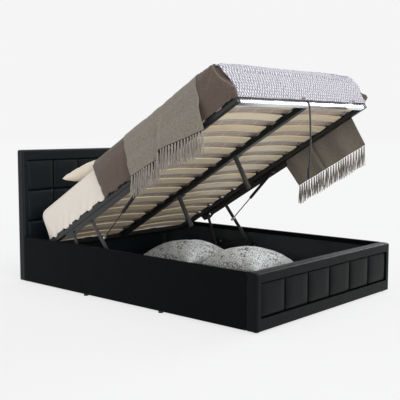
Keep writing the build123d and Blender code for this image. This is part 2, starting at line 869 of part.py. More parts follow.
def strut_cylinder():
    """The gas strut's cylinder, with its upper eye and the bore for the rod."""
    eye = disc(strut_x - eye_width / 2, strut_x + eye_width / 2, 0, 0, eye_radius)
    neck = Pos(strut_x, cylinder_start / 2, 0) * Rot(90, 0, 0) * Cylinder(rod_radius, cylinder_start)
    tube = Pos(strut_x, cylinder_start + cylinder_length / 2, 0) * Rot(90, 0, 0) * Cylinder(
        cylinder_radius, cylinder_length)
    body = merged([eye, neck, tube])
    bore_low = cylinder_start + cylinder_wall
    bore_high = cylinder_start + cylinder_length - gland_length
    bore = Pos(strut_x, (bore_low + bore_high) / 2, 0) * Rot(90, 0, 0) * Cylinder(
        cylinder_radius - cylinder_wall, bore_high - bore_low)
    gland = Pos(strut_x, bore_high + gland_length / 2, 0) * Rot(90, 0, 0) * Cylinder(
        rod_radius + face_clearance, gland_length + 2 * overrun)
    hole = disc(strut_x - eye_width, strut_x + eye_width, 0, 0, pin_radius + pin_clearance)
    return cut(body, [bore, gland, hole])


def strut_rod():
    """The piston rod, from its piston to the threaded end, for the raised pose."""
    start = strut_long - strut_short + cylinder_start + cylinder_wall + closed_end_gap
    end = strut_long - rod_end_length
    rod = Pos(strut_x, (start + end) / 2, 0) * Rot(90, 0, 0) * Cylinder(rod_radius, end - start)
    piston = Pos(strut_x, start + piston_length / 2, 0) * Rot(90, 0, 0) * Cylinder(
        cylinder_radius - cylinder_wall - face_clearance, piston_length)
    return rod + piston


def rod_end():
    """The fitting on the rod, with the stud that bears on the front arm's inner face."""
    stem = Pos(strut_x, strut_long - rod_end_length / 2, 0) * Rot(90, 0, 0) * Cylinder(
        rod_radius + cylinder_wall, rod_end_length)
    eye = disc(strut_x - eye_width / 2, strut_x + eye_width / 2, strut_long, 0, eye_radius)
    stud = disc(strut_x, arm_inner_x - face_clearance, strut_long, 0, pin_radius)
    return merged([stem, eye, stud])


# Bedding, drawn on the flat platform

def rounded_block(x, s_low, s_high, n_low, n_high, corner, edge, bottom_edge):
    """A soft block with round upright corners and rounded long edges."""
    body = block(-x, x, s_low, s_high, n_low, n_high)
    body = fillet(body.edges().filter_by(Axis.Z), corner)
    middle = (n_low + n_high) / 2
    top = [e for e in body.edges() if e.center().Z > middle and abs(e.bounding_box().size.Z) < soft_gap]
    body = fillet(top, edge)
    if bottom_edge > 0:
        low = [e for e in body.edges() if e.center().Z < n_low + soft_gap and e.bounding_box().size.Z < soft_gap]
        body = fillet(low, bottom_edge)
    return body


def mattress():
    """The mattress: padding and cover round the room for its springs."""
    s_high = mattress_start + mattress_length
    outer = rounded_block(mattress_half, mattress_start, s_high, mattress_low, mattress_high,
                          mattress_corner_radius, mattress_edge_radius, mattress_edge_radius)
    pad = mattress_padding
    core = block(-mattress_half + pad, mattress_half - pad, mattress_start + pad, s_high - pad,
                 mattress_low + pad, mattress_high - pad)
    core = fillet(core.edges().filter_by(Axis.Z), mattress_corner_radius - pad)
    return outer - core


def fitted_sheet():
    """The sheet over the mattress, with a skirt that hangs to just above the frame."""
    inner_x = mattress_half + soft_gap
    outer_x = inner_x + sheet_thickness
    s_low = mattress_start
    s_high = mattress_start + mattress_length
    grown = soft_gap + sheet_thickness
    outer = rounded_block(outer_x, s_low - grown, s_high + grown, sheet_skirt, sheet_high,
                          mattress_corner_radius + grown, mattress_edge_radius + grown, 0)
    inner = rounded_block(inner_x, s_low - soft_gap, s_high + soft_gap, sheet_skirt - overrun,
                          mattress_high + soft_gap, mattress_corner_radius + soft_gap,
                          mattress_edge_radius + soft_gap, 0)
    return outer - inner


def cross_form(grow, s_low, s_high):
    """The duvet's form across the bed, bulging at the sides and crowned on top, grown all round."""
    bulge_rise = (duvet_low + duvet_shoulder_rise) / 2
    side_x = duvet_shoulder_x + grow
    mid_x = duvet_bulge_x + grow
    low_x = duvet_low_x + grow
    shoulder = duvet_shoulder_rise
    corner_z = duvet_corner_rise + grow
    crown_z = duvet_crown_rise + grow
    low = duvet_low
    turn = math.sqrt(2) / 2
    bend_x = duvet_corner_x + (side_x - duvet_corner_x) * turn
    bend_z = shoulder + (corner_z - shoulder) * turn
    steps = [
        ((-low_x, s_low, low), (low_x, s_low, low)),
        ((low_x, s_low, low), (mid_x, s_low, bulge_rise), (side_x, s_low, shoulder)),
        ((side_x, s_low, shoulder), (bend_x, s_low, bend_z), (duvet_corner_x, s_low, corner_z)),
        ((duvet_corner_x, s_low, corner_z), (0, s_low, crown_z), (-duvet_corner_x, s_low, corner_z)),
        ((-duvet_corner_x, s_low, corner_z), (-bend_x, s_low, bend_z), (-side_x, s_low, shoulder)),
        ((-side_x, s_low, shoulder), (-mid_x, s_low, bulge_rise), (-low_x, s_low, low)),
    ]
    return Solid.extrude(face_of(steps), Vector(0, s_high - s_low, 0))


def long_form(grow, s_high, head_radius):
    """The duvet's form along the bed, rounded at the foot and at its head edge, grown all round."""
    s_low = duvet_foot - grow
    top = duvet_crown_rise + grow
    radius = duvet_foot_radius + grow
    share = 1 - math.sqrt(2) / 2
    x = half_width + overrun
    low = duvet_low
    steps = [
        ((-x, s_low, low), (-x, s_low, top - radius)),
        ((-x, s_low, top - radius), (-x, s_low + radius * share, top - radius * share), (-x, s_low + radius, top)),
        ((-x, s_low + radius, top), (-x, s_high - head_radius, top)),
        ((-x, s_high - head_radius, top), (-x, s_high - head_radius * share, top - head_radius * share),
         (-x, s_high, top - head_radius)),
        ((-x, s_high, top - head_radius), (-x, s_high, low)),
        ((-x, s_high, low), (-x, s_low, low)),
    ]
    return Solid.extrude(face_of(steps), Vector(2 * x, 0, 0))


def bed_form(grow, s_high, head_radius):
    """The dressed bed's upper form to a given distance from the foot."""
    s_low = duvet_foot - grow - overrun
    return cross_form(grow, s_low, s_high) & long_form(grow, s_high, head_radius)


def duvet():
    """The duvet over the sheet, tucked down to the frame."""
    room = block(-duvet_lining, duvet_lining, mattress_start - sheet_thickness - 2 * soft_gap,
                 duvet_end + overrun, duvet_low - overrun, sheet_high + soft_gap)
    return bed_form(0, duvet_end, duvet_head_radius) - room


def blanket():
    """The woven blanket over the foot end, from the frame to the throw's edge."""
    s_high = throw_start - soft_gap
    outer = cross_form(soft_gap + blanket_thickness, duvet_foot - 3 * overrun - blanket_thickness, s_high) & long_form(
        soft_gap + blanket_thickness, s_high + duvet_head_radius, duvet_head_radius)
    inner = cross_form(soft_gap, duvet_foot - 4 * overrun - blanket_thickness, s_high + overrun) & long_form(
        soft_gap, s_high + duvet_head_radius + overrun, duvet_head_radius)
    keep = block(-blanket_half_width, blanket_half_width, duvet_foot - 2 * overrun - blanket_thickness, s_high,
                 duvet_low - overrun, duvet_crown_rise + 2 * overrun + blanket_thickness)
    return (outer & keep) - inner


def ribbon(x_mid, n, s_low, s_high, wave, waves):
    """A thin closed outline at one height: a strip of cloth seen end on, waved by arcs."""
    count = 2 * waves
    step = (s_high - s_low) / count
    half = throw_thickness / 2
    steps = []
    for i in range(count):
        a = s_low + i * step
        bulge = wave if i % 2 == 0 else -wave
        steps.append(((x_mid + half, a, n), (x_mid + half + bulge, a + step / 2, n), (x_mid + half, a + step, n)))
    steps.append(((x_mid + half, s_high, n), (x_mid - half, s_high, n)))
    for i in reversed(range(count)):
        a = s_low + i * step
        bulge = wave if i % 2 == 0 else -wave
        steps.append(((x_mid - half, a + step, n), (x_mid - half + bulge, a + step / 2, n), (x_mid - half, a, n)))
    steps.append(((x_mid - half, s_low, n), (x_mid + half, s_low, n)))
    return face_of(steps)


def throw_drop(bottom, slant_share):
    """One hanging side of the throw on the right: flat at the duvet, folded lower down."""
    top = duvet_shoulder_rise
    x_top = duvet_shoulder_x + soft_gap + throw_thickness / 2
    small_wave = throw_wave / 10
    levels = [(top, x_top, small_wave), (throw_clear_rise, throw_drop_x, throw_wave / 2),
              (bottom, throw_drop_x, throw_wave)]
    faces = []
    for n, x, wave in levels:
        shift = (top - n) * slant_share
        faces.append(ribbon(x, n, throw_start + shift, throw_start + shift + throw_width, wave, throw_wave_count))
    upper = Solid.make_loft([faces[0].outer_wire(), faces[1].outer_wire()], ruled=True)
    lower = Solid.make_loft([faces[1].outer_wire(), faces[2].outer_wire()], ruled=True)
    return upper + lower


def throw():
    """The linen throw across the bed: a band over the duvet and two hanging sides."""
    s_high = throw_start + throw_width
    outer = cross_form(soft_gap + throw_thickness, throw_start, s_high)
    inner = cross_form(soft_gap, throw_start - overrun, s_high + overrun)
    below = block(-half_width, half_width, throw_start - overrun, s_high + overrun, duvet_low - overrun,
                  duvet_shoulder_rise)
    band = (outer - inner) - below
    right = throw_drop(throw_drop_right, throw_slant_right_share)
    left = other_side(throw_drop(throw_drop_left, throw_slant_left_share))
    return merged([band, right, left])


def fringe(bottom, slant_share):
    """The tassels under one hanging side, on the right, hanging plumb when raised."""
    shift = (duvet_shoulder_rise - bottom) * slant_share
    pitch = throw_width / tassel_count
    top_face = RegularPolygon(tassel_top, tassel_sides)
    low_face = Pos(0, 0, -tassel_length) * RegularPolygon(tassel_bottom, tassel_sides)
    tassel = loft([top_face, low_face])
    plumb = Rot(raised_tilt, 0, 0) * tassel
    drop = tassel_top * math.sin(math.radians(raised_tilt)) + soft_gap
    tassels = []
    for i in range(tassel_count):
        s = throw_start + shift + (i + 0.5) * pitch
        tassels.append(Pos(throw_drop_x, s, bottom - drop) * plumb)
    return tassels


def pillow_form(width, depth, thickness, edge):
    """A stuffed form: crowned, with drawn-in sides, its underside nearly flat on z = 0."""
    stations_shares = (-1.0, -0.72, -0.3, 0.3, 0.72, 1.0)
    height_shares = (0.0, 0.62, 0.97, 0.97, 0.62, 0.0)
    depth_shares = (1.0, 0.955, 0.94, 0.94, 0.955, 1.0)
    seam_share = 0.34
    faces = []
    for station, height, across in zip(stations_shares, height_shares, depth_shares):
        x = station * width / 2
        half = across * depth / 2
        full = edge + (thickness - edge) * height
        seam_z = thickness * seam_share
        low = seam_z - edge / 2
        high = seam_z + edge / 2
        bottom = low - (full - edge) * seam_share * (thickness - edge / seam_share / 2) / (thickness - edge)
        top = high + (full - edge) * (1 - seam_share)
        bottom = min(bottom, low - edge / 10)
        top = max(top, high + edge / 10)
        steps = [
            ((x, -half, low), (x, 0, bottom), (x, half, low)),
            ((x, half, low), (x, half, high)),
            ((x, half, high), (x, 0, top), (x, -half, high)),
            ((x, -half, high), (x, -half, low)),
        ]
        faces.append(Wire([Edge.make_three_point_arc(*steps[0]), Edge.make_line(*steps[1]),
                           Edge.make_three_point_arc(*steps[2]), Edge.make_line(*steps[3])]))
    body = Solid.make_loft(faces)
    lowest = body.bounding_box().min.Z
    return Pos(0, 0, -lowest) * body


def bed_pillow():
    """The right-hand bed pillow, on the sheet at the head of the duvet."""
    shape = pillow_form(pillow_width, pillow_depth, pillow_thickness, pillow_edge)
    return Pos(pillow_x, pillow_start + pillow_depth / 2, sheet_high + soft_gap) * shape


# Lift strap, drawn flat and hanging plumb when raised

def lift_strap():
    """The webbing strap with its sewn hand loop, below the foot tube."""
    x = strap_width / 2
    grip = strap_length - strap_loop
    body = block(-x, x, -strap_thickness / 2, strap_thickness / 2, -grip, 0)
    half = strap_thickness * 2
    outline_outer = block(-x, x, -half - strap_thickness / 2, half + strap_thickness / 2, -strap_length, -grip)
    outline_inner = block(-x - overrun, x + overrun, -half + strap_thickness / 2, half - strap_thickness / 2,
                          -strap_length + strap_thickness, -grip - strap_thickness)
    loop = outline_outer - outline_inner
    return body + loop


def strap_anchor():
    """The strap's sewn upper end, riveted flat on the outer face of the foot tube."""
    x = strap_width / 2
    webbing = block(-x, x, -strap_thickness, 0, 0, tube_height)
    rivet = Pos(0, -strap_thickness, tube_height / 2) * Rot(90, 0, 0) * Cylinder(strap_rivet, strap_thickness)
    return webbing + rivet


strap_pivot_s = -strap_thickness / 2
strap_pivot_n = -strap_thickness / 2 - face_clearance
strap_place = raised_point(strap_pivot_s, strap_pivot_n)


def hung_strap():
    return Pos(0, strap_place[0], strap_place[1]) * lift_strap()


# Write the nodes

write("headboard_core", board_core(head_front, head_front + headboard_thickness, headboard_height))
write("headboard_cover", board_cover(head_front, head_front + headboard_thickness, headboard_height,
                                     headboard_panel_low, headboard_panel_high))
write("headboard_squares", padded_squares(head_front, headboard_panel_low, headboard_panel_high,
                                          headboard_panel_rows))
write("footboard_core", board_core(foot_face, foot_back, footboard_height))
write("footboard_cover", board_cover(foot_face, foot_back, footboard_height,
                                     footboard_panel_low, footboard_panel_high))
write("footboard_squares", padded_squares(foot_face, footboard_panel_low, footboard_panel_high, 1))
core = rail_core()
cover = rail_cover()
write("side_rail_core_right", core)
write("side_rail_core_left", other_side(core))
write("side_rail_cover_right", cover)
write("side_rail_cover_left", other_side(cover))
brackets = [corner_bracket(foot_back, 1), corner_bracket(head_front, -1)]
write("corner_brackets", both_sides(brackets))
write("corner_bolts", both_sides([place * bolt(bolt_length) for place in corner_bolt_places()]))
write("floor_panels", floor_pieces())
write("floor_battens", floor_battens())
write("floor_glides", glides())
write("storage_cushion_foot", storage_cushion(cushion_foot_x, cushion_foot_y, cushion_foot_turn))
write("storage_cushion_head", storage_cushion(cushion_head_x, cushion_head_y, cushion_head_turn))

bracket = base_bracket()
write("base_bracket_right", bracket)
write("base_bracket_left", other_side(bracket))
write("bracket_bolts", both_sides([place * bolt(bolt_length) for place in bracket_bolt_places()]))
write("lower_pivot_pins", both_sides(lower_pins()))

arm = swung(front_base, front_angle, front_arm())
write("front_arm_right", arm)
write("front_arm_left", other_side(arm))
arm = swung(rear_base, rear_angle, rear_arm())
write("rear_arm_right", arm)
write("rear_arm_left", other_side(arm))
write("rear_arm_pins", both_sides([rear_arm_pin()]))

tube = raised(side_tube())
write("platform_side_tube_right", tube)
write("platform_side_tube_left", other_side(tube))
write("tube_end_caps", [raised(cap) for cap in tube_caps()])
write("platform_foot_tube", raised(cross_tube(0)))
write("platform_head_tube", raised(cross_tube(platform_length - tube_width)))
write("platform_centre_rail", raised(centre_rail()))
bar = raised(cut(mechanism_bar(), bar_bolt_holes()))
write("mechanism_bar_right", bar)
write("mechanism_bar_left", other_side(bar))
write("mechanism_bar_bolts", both_sides([raised(body) for body in bar_bolts()]))
write("upper_pivot_pins", both_sides([raised(front_top_pin()), raised(strut_top_pin())]))
slats = [raised(slat(s)) for s in slat_places()]
write("slats_right", slats)
write("slats_left", [other_side(one) for one in slats])
holders = [raised(side_holder(s)) for s in slat_places()]
write("slat_holders_right", holders)
write("slat_holders_left", [other_side(one) for one in holders])
write("slat_holders_centre", [raised(centre_holder(s)) for s in slat_places()])
write("centre_legs", [raised(centre_leg(s)) for s in leg_places()])
write("leg_feet", [raised(leg_foot(s)) for s in leg_places()])
write("mattress_retainers", both_sides([raised(retainer())]))

cylinder = swung(strut_top, strut_angle, strut_cylinder())
write("strut_cylinder_right", cylinder)
write("strut_cylinder_left", other_side(cylinder))
rod = swung(strut_top, strut_angle, strut_rod())
write("strut_rod_right", rod)
write("strut_rod_left", other_side(rod))
write("strut_rod_ends", both_sides([swung(strut_top, strut_angle, rod_end())]))

write("mattress", raised(mattress()))
write("fitted_sheet", raised(fitted_sheet()))
write("duvet", raised(duvet()))
write("blanket", raised(blanket()))
write("throw", raised(throw()))
write("throw_fringe_right", [raised(one) for one in fringe(throw_drop_right, throw_slant_right_share)])
write("throw_fringe_left", [raised(other_side(one)) for one in fringe(throw_drop_left, throw_slant_left_share)])
pillow = bed_pillow()
write("pillow_right", raised(pillow))
write("pillow_left", raised(other_side(pillow)))
write("lift_strap", hung_strap())
write("strap_anchor", raised(strap_anchor()))

print("front_base", *front_base)
print("rear_base", *rear_base)
print("front_top", *front_top)
print("strut_top", *strut_top)
print("strut_foot", *strut_foot)
print("strap_place", *strap_place)
print("front_turn", front_angle_closed - front_angle)
print("rear_turn", rear_angle_closed - rear_angle)
print("strut_turn", strut_angle_closed - strut_angle)
print("strut_angle", strut_angle)
print("strut_stroke", strut_short - strut_long)
print("tilt", raised_tilt)
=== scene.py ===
# %% [markdown]
# # An ottoman storage bed, raised
#
# This lesson dresses a bed that was drawn in CAD. The CAD model gives every rigid piece and says
# how it moves. Here those pieces get their finishes, and the soft pieces (duvet, throw, blanket,
# pillows, cushions, leather pads) are made again as cloth. Lengths are in metres.

# %% Load the frame
import math

import bmesh
import bpy
import numpy as np
from mathutils import Matrix, Vector, noise
from mathutils.bvhtree import BVHTree


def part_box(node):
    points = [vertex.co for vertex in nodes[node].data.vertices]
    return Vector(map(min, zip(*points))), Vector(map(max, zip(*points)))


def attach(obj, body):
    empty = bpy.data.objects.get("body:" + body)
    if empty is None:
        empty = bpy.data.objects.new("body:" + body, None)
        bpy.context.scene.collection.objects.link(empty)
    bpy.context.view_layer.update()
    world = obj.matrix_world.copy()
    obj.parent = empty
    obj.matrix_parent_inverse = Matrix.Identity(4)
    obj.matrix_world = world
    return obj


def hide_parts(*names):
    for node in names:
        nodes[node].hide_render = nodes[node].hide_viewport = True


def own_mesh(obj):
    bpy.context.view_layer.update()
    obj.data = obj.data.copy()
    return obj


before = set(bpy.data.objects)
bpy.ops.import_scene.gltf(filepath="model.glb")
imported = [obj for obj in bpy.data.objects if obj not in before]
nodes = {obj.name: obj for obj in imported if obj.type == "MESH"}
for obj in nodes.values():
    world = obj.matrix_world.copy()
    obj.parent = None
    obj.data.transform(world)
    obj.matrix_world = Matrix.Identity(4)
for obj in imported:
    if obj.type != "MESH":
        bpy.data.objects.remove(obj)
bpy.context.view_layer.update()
scene = bpy.context.scene

# %% [markdown]
# The platform is tilted, so everything on it is easier to think about flat: x across the bed,
# s from its foot end towards the head, n up from the underside of its tubes. One matrix lays a
# flat piece on the raised platform, and its inverse takes it back.

# %% The raised platform's matrix
TILT = math.radians(29.84)
FOOT_Y = -0.8885
FOOT_Z = 1.215
RAISED = Matrix(((1, 0, 0, 0),
                 (0, math.cos(TILT), math.sin(TILT), FOOT_Y),
                 (0, -math.sin(TILT), math.cos(TILT), FOOT_Z),
                 (0, 0, 0, 1)))
FLAT = RAISED.inverted()
STILL = Matrix.Identity(4)
DOWN = RAISED.to_3x3().transposed() @ Vector((0, 0, -1))
print("straight down, seen from the platform:", [round(c, 3) for c in DOWN])

# %% [markdown]
# ## Camera
#
# The photograph's camera was worked out from the box's long edges. It stands low beside the foot
# of the bed and looks along it, a little downwards. There is no lens shift.

# %% Camera
LENS = 66.92
LOOK_DOWN = 5.42
LOOK_TURN = -48.29


def put_in_scene(name, data):
    """An object with this data, in the scene."""
    thing = bpy.data.objects.new(name, data)
    scene.collection.objects.link(thing)
    return thing


camera_data = bpy.data.cameras.new("camera")
camera_data.lens = LENS
camera_data.sensor_width = 36.0
camera_data.clip_end = 200.0
camera = put_in_scene("camera", camera_data)
camera.location = (-3.763, -3.3695, 1.073)
camera.rotation_euler = (math.radians(90 - LOOK_DOWN), 0, math.radians(LOOK_TURN))
scene.camera = camera
print("camera lens", camera_data.lens)

# %% [markdown]
# ## How a finish is built
#
# Every finish starts from one shader with its own colour and roughness. Pattern comes from noise,
# cells or waves in the shader's nodes, so no picture file is needed. A few small helpers keep the
# recipes short: they add a node and wire it, or turn a pattern into relief, colour or roughness.

# %% Helpers for nodes
def shader_of(material):
    return material.node_tree.nodes["Principled BSDF"]


def start(name, colour, roughness, **sockets):
    """A new material whose shader has this colour and roughness."""
    material = bpy.data.materials.new(name)
    material.use_nodes = True
    inputs = shader_of(material).inputs
    inputs["Base Color"].default_value = (*colour, 1)
    inputs["Roughness"].default_value = roughness
    for socket, value in sockets.items():
        inputs[socket.replace("_", " ")].default_value = value
    return material


def set_all(thing, **settings):
    for key, value in settings.items():
        setattr(thing, key, value)
    return thing


def add(owner, kind, inputs=None, **settings):
    """A shader node of this kind in a material or world, with its inputs set or wired."""
    node = set_all(owner.node_tree.nodes.new("ShaderNode" + kind), **settings)
    for key, value in (inputs or {}).items():
        if isinstance(value, bpy.types.NodeSocket):
            owner.node_tree.links.new(value, node.inputs[key])
        else:
            node.inputs[key].default_value = value
    return node


def wire(material, output, socket):
    """Wire an output to one of the shader's sockets."""
    material.node_tree.links.new(output, shader_of(material).inputs[socket])


def combine(owner, first, second, kind):
    return add(owner, "Math", {0: first, 1: second}, operation=kind).outputs[0]


def weigh(material, first, first_share, second, second_share):
    """Two patterns added up, each times its share."""
    parts = [combine(material, pattern, share, "MULTIPLY")
             for pattern, share in ((first, first_share), (second, second_share))]
    return combine(material, *parts, "ADD")


# %% Helpers for patterns
def where(material, scale=(1, 1, 1), uv=False):
    """Coordinates on the piece, stretched along its axes."""
    source = add(material, "TexCoord").outputs["UV" if uv else "Object"]
    return add(material, "Mapping", {"Vector": source, "Scale": scale}).outputs["Vector"]


def speckle(material, vector, scale, detail):
    """Soft noise from 0 to 1."""
    inputs = {"Vector": vector, "Scale": scale, "Detail": detail}
    return add(material, "TexNoise", inputs).outputs["Fac"]


def cells(material, vector, scale, feature="DISTANCE_TO_EDGE", randomness=1.0):
    """How far a point is from the nearest cell edge, or with F1 from the nearest cell middle."""
    inputs = {"Vector": vector, "Scale": scale, "Randomness": randomness}
    return add(material, "TexVoronoi", inputs, feature=feature).outputs["Distance"]


def threads(material, vector, scale, direction, distortion, detail=1.0, fineness=1.0):
    """Parallel ridges from 0 to 1."""
    inputs = {"Vector": vector, "Scale": scale, "Distortion": distortion, "Detail": detail, "Detail Scale": fineness}
    return add(material, "TexWave", inputs, wave_type="BANDS", bands_direction=direction).outputs["Fac"]


def relief(material, heights):
    """Fine relief from (height, strength, depth in metres) layers."""
    normal = None
    for height, strength, depth in heights:
        inputs = {"Height": height, "Strength": strength, "Distance": depth}
        if normal is not None:
            inputs["Normal"] = normal
        normal = add(material, "Bump", inputs).outputs["Normal"]
    wire(material, normal, "Normal")


def tint(material, factor, stops):
    """Colour from a pattern, through a ramp of (place, colour) stops."""
    ramp = add(material, "ValToRGB", {"Fac": factor})
    elements = ramp.color_ramp.elements
    while len(elements) < len(stops):
        elements.new(0.5)
    for element, (place, colour) in zip(elements, stops):
        element.position = place
        element.color = (*colour, 1)
    wire(material, ramp.outputs["Color"], "Base Color")


def rough(material, factor, low, high):
    """Roughness that follows a pattern."""
    ranged = add(material, "MapRange", {"Value": factor, "To Min": low, "To Max": high})
    wire(material, ranged.outputs["Result"], "Roughness")


def grained(name, colour, roughness, grain, bump=None, gloss=None, wear=None, stops=None, stretch=(1, 1, 1), **sockets):
    """A finish from one noise, grain: its relief, its colours, and its roughness unless wear gives that a noise."""
    material = start(name, colour, roughness, **sockets)
    place = where(material, stretch)
    pattern = speckle(material, place, *grain)
    if bump:
        relief(material, [(pattern, *bump)])
    if gloss:
        rough(material, speckle(material, place, *wear) if wear else pattern, *gloss)
    if stops:
        tint(material, pattern, stops)
    return material


def both(*names):
    """The right and left node of each name."""
    return [name + side for name in names for side in ("_right", "_left")]


def dress(names, material):
    """Give CAD nodes a finish."""
    for name in names:
        slots = nodes[name].data.materials
        slots.clear()
        slots.append(material)
    print(material.name, "on", ", ".join(names))


print("finish helpers ready")

# %% [markdown]
# ## Light
#
# A product photograph has light from all round. Four soft suns and a white world do that here.
# The low sun stands in front of the foot end, where it reaches the slats from below. Suns light
# the far floor as much as the near floor, so floor and background meet with no line. The camera
# and mirrors see a nearly white world, which lights the bed less than it looks.

# %% World
scene.view_settings.view_transform = "Standard"
BACKGROUND = 0.914
AMBIENT = 0.62
world = bpy.data.worlds.new("studio")
scene.world = world
world.use_nodes = True


def seen_directly(owner):
    """1 for camera, mirror and see-through rays, and 0 for the light that falls on things."""
    rays = add(owner, "LightPath").outputs
    mirrored = combine(owner, rays["Is Camera Ray"], rays["Is Glossy Ray"], "MAXIMUM")
    return combine(owner, mirrored, rays["Is Transmission Ray"], "MAXIMUM")


level = add(world, "MapRange", {"Value": seen_directly(world), "To Min": AMBIENT, "To Max": BACKGROUND})
background = world.node_tree.nodes["Background"]
background.inputs["Color"].default_value = (1, 1, 1, 1)
world.node_tree.links.new(level.outputs["Result"], background.inputs["Strength"])
print("a white world of", AMBIENT)


# %% Suns
def sun(name, azimuth, elevation, strength, softness, colour=(1, 1, 1)):
    """A sun shining from an azimuth (0 is from the foot, -90 from the left) and a height."""
    data = bpy.data.lights.new(name, "SUN")
    data.energy = strength
    data.color = colour
    data.angle = math.radians(softness)
    lamp = put_in_scene(name, data)
    lamp.rotation_euler = (math.radians(90 - elevation), 0, math.radians(azimuth))
    print(name, "strength", strength)


sun("key_sun", -5, 50, 0.8, 40)
sun("side_sun", -75, 30, 0.22, 60)
sun("right_sun", 88, 26, 1.15, 24, (0.84, 0.92, 1.0))
sun("low_sun", -20, 6, 1.1, 40)

# %% [markdown]
# ## Faux leather
#
# The box and headboard are covered in black faux leather. Pressed grain gives it a broken sheen:
# small cells about a millimetre across, with slow waves where the padding pulls. The rails get a
# copy with less shine, a painted shade, and the headboard a lighter, bluer copy, a painted light.

# %% Faux leather
leather = start("faux_leather", (0.003, 0.0035, 0.004), 0.4, Specular_IOR_Level=0.09)
place = where(leather)
creases = speckle(leather, place, 160.0, 5.0)
padding = speckle(leather, place, 7.0, 2.0)
relief(leather, [(padding, 0.25, 0.012), (creases, 0.18, 0.0008), (cells(leather, place, 520.0), 0.35, 0.0006)])
rough(leather, creases, 0.32, 0.48)
tint(leather, creases, [(0.35, (0.002, 0.0025, 0.0029)), (0.7, (0.0042, 0.005, 0.0058))])


def leather_with(name, shine):
    """A copy of the leather with another shine: less shine paints shade, more shine paints light."""
    material = leather.copy()
    material.name = name
    shader_of(material).inputs["Specular IOR Level"].default_value = shine
    return material


# Painted shade: the rails' copy has less shine, so the rails render darker.
rail_leather_painted_shade = leather_with("faux_leather_flat", 0.035)
head_leather_painted_light = leather_with("faux_leather_head", 0.16)
# Painted light: the headboard's copy is lighter and bluer, as if lit where the platform shades it.
ramp = next(node for node in head_leather_painted_light.node_tree.nodes if node.type == "VALTORGB").color_ramp
for element, colour in zip(ramp.elements, ((0.0045, 0.007, 0.0088), (0.008, 0.0118, 0.0145))):
    element.color = (*colour, 1)
dress(["footboard_cover"], leather)
dress(["headboard_cover"], head_leather_painted_light)
dress(both("side_rail_cover"), rail_leather_painted_shade)

# %% [markdown]
# ## Timber and boards
#
# The boards inside the box are faced in black, as the photograph shows: a thin film over pressed
# chips, so a faint uneven mottle shows through. The storage floor is a dark faced board, and the
# battens are planed softwood with long grain.

# %% Boards
black_board = start("black_faced_board", (0.011, 0.012, 0.013), 0.5, Specular_IOR_Level=0.2)
place = where(black_board)
mottle = speckle(black_board, place, 9.0, 4.0)
tint(black_board, mottle, [(0.3, (0.019, 0.0215, 0.0245)), (0.7, (0.03, 0.034, 0.038))])
relief(black_board, [(cells(black_board, place, 140.0, "F1"), 0.12, 0.0004)])
rough(black_board, mottle, 0.42, 0.6)
floor_face = grained("storage_floor", (0.06, 0.058, 0.055), 0.55, (30.0, 6.0), (0.2, 0.0004), stretch=(6, 1, 1),
                     stops=[(0.3, (0.035, 0.033, 0.031)), (0.7, (0.085, 0.08, 0.075))])
softwood = grained("softwood", (0.72, 0.56, 0.36), 0.6, (9.0, 6.0), (0.25, 0.0005), stretch=(22, 1, 22),
                   stops=[(0.3, (0.58, 0.41, 0.22)), (0.7, (0.80, 0.66, 0.45))])
dress(["headboard_core", "footboard_core"] + both("side_rail_core"), black_board)
dress(["floor_panels"], floor_face)
dress(["floor_battens"], softwood)

# %% [markdown]
# ## Steel
#
# The frame is powder coated black, with a slight orange peel. The arms are a lighter satin grey.
# The foot tube shows white in the photograph, because it is polished and mirrors the studio.

# %% Steel finishes
frame_steel = grained("black_powder_coat", (0.01, 0.012, 0.012), 0.38, (420.0, 2.0), (0.25, 0.0004), (0.30, 0.46),
                      (18.0, 4.0), Specular_IOR_Level=0.22)
arm_steel = grained("grey_satin_coat", (0.043, 0.043, 0.043), 0.36, (380.0, 2.0), (0.2, 0.0003), (0.28, 0.46),
                    (30.0, 5.0), Metallic=0.3)
polished = grained("polished_foot_tube", (0.78, 0.81, 0.87), 0.2, (26.0, 4.0), (0.12, 0.0002), (0.14, 0.28),
                   stretch=(0.6, 40, 40), Metallic=1.0)
zinc = grained("zinc_plate", (0.72, 0.72, 0.70), 0.3, (240.0, 4.0), (0.15, 0.0002), (0.2, 0.42), Metallic=1.0)
dark_zinc = grained("black_zinc_plate", (0.045, 0.045, 0.048), 0.4, (240.0, 4.0), (0.15, 0.0002), (0.32, 0.5),
                    Metallic=0.7)
rod_steel = grained("ground_rod", (0.055, 0.05, 0.048), 0.2, (900.0, 2.0), None, (0.1, 0.24), Metallic=0.5)
tube_paint = grained("cylinder_paint", (0.008, 0.008, 0.009), 0.3, (500.0, 2.0), (0.12, 0.0003), Coat_Weight=0.08,
                     Specular_IOR_Level=0.25)
dress(["platform_head_tube", "platform_centre_rail", "mattress_retainers"] + both("base_bracket"), frame_steel)
dress(both("front_arm", "rear_arm") + ["centre_legs"], arm_steel)
dress(["platform_foot_tube"], polished)
dress(["bracket_bolts", "strut_rod_ends"], zinc)
dress(["lower_pivot_pins", "rear_arm_pins", "mechanism_bar_bolts", "upper_pivot_pins", "corner_brackets",
       "corner_bolts"], dark_zinc)
dress(both("strut_rod"), rod_steel)
dress(both("strut_cylinder"), tube_paint)
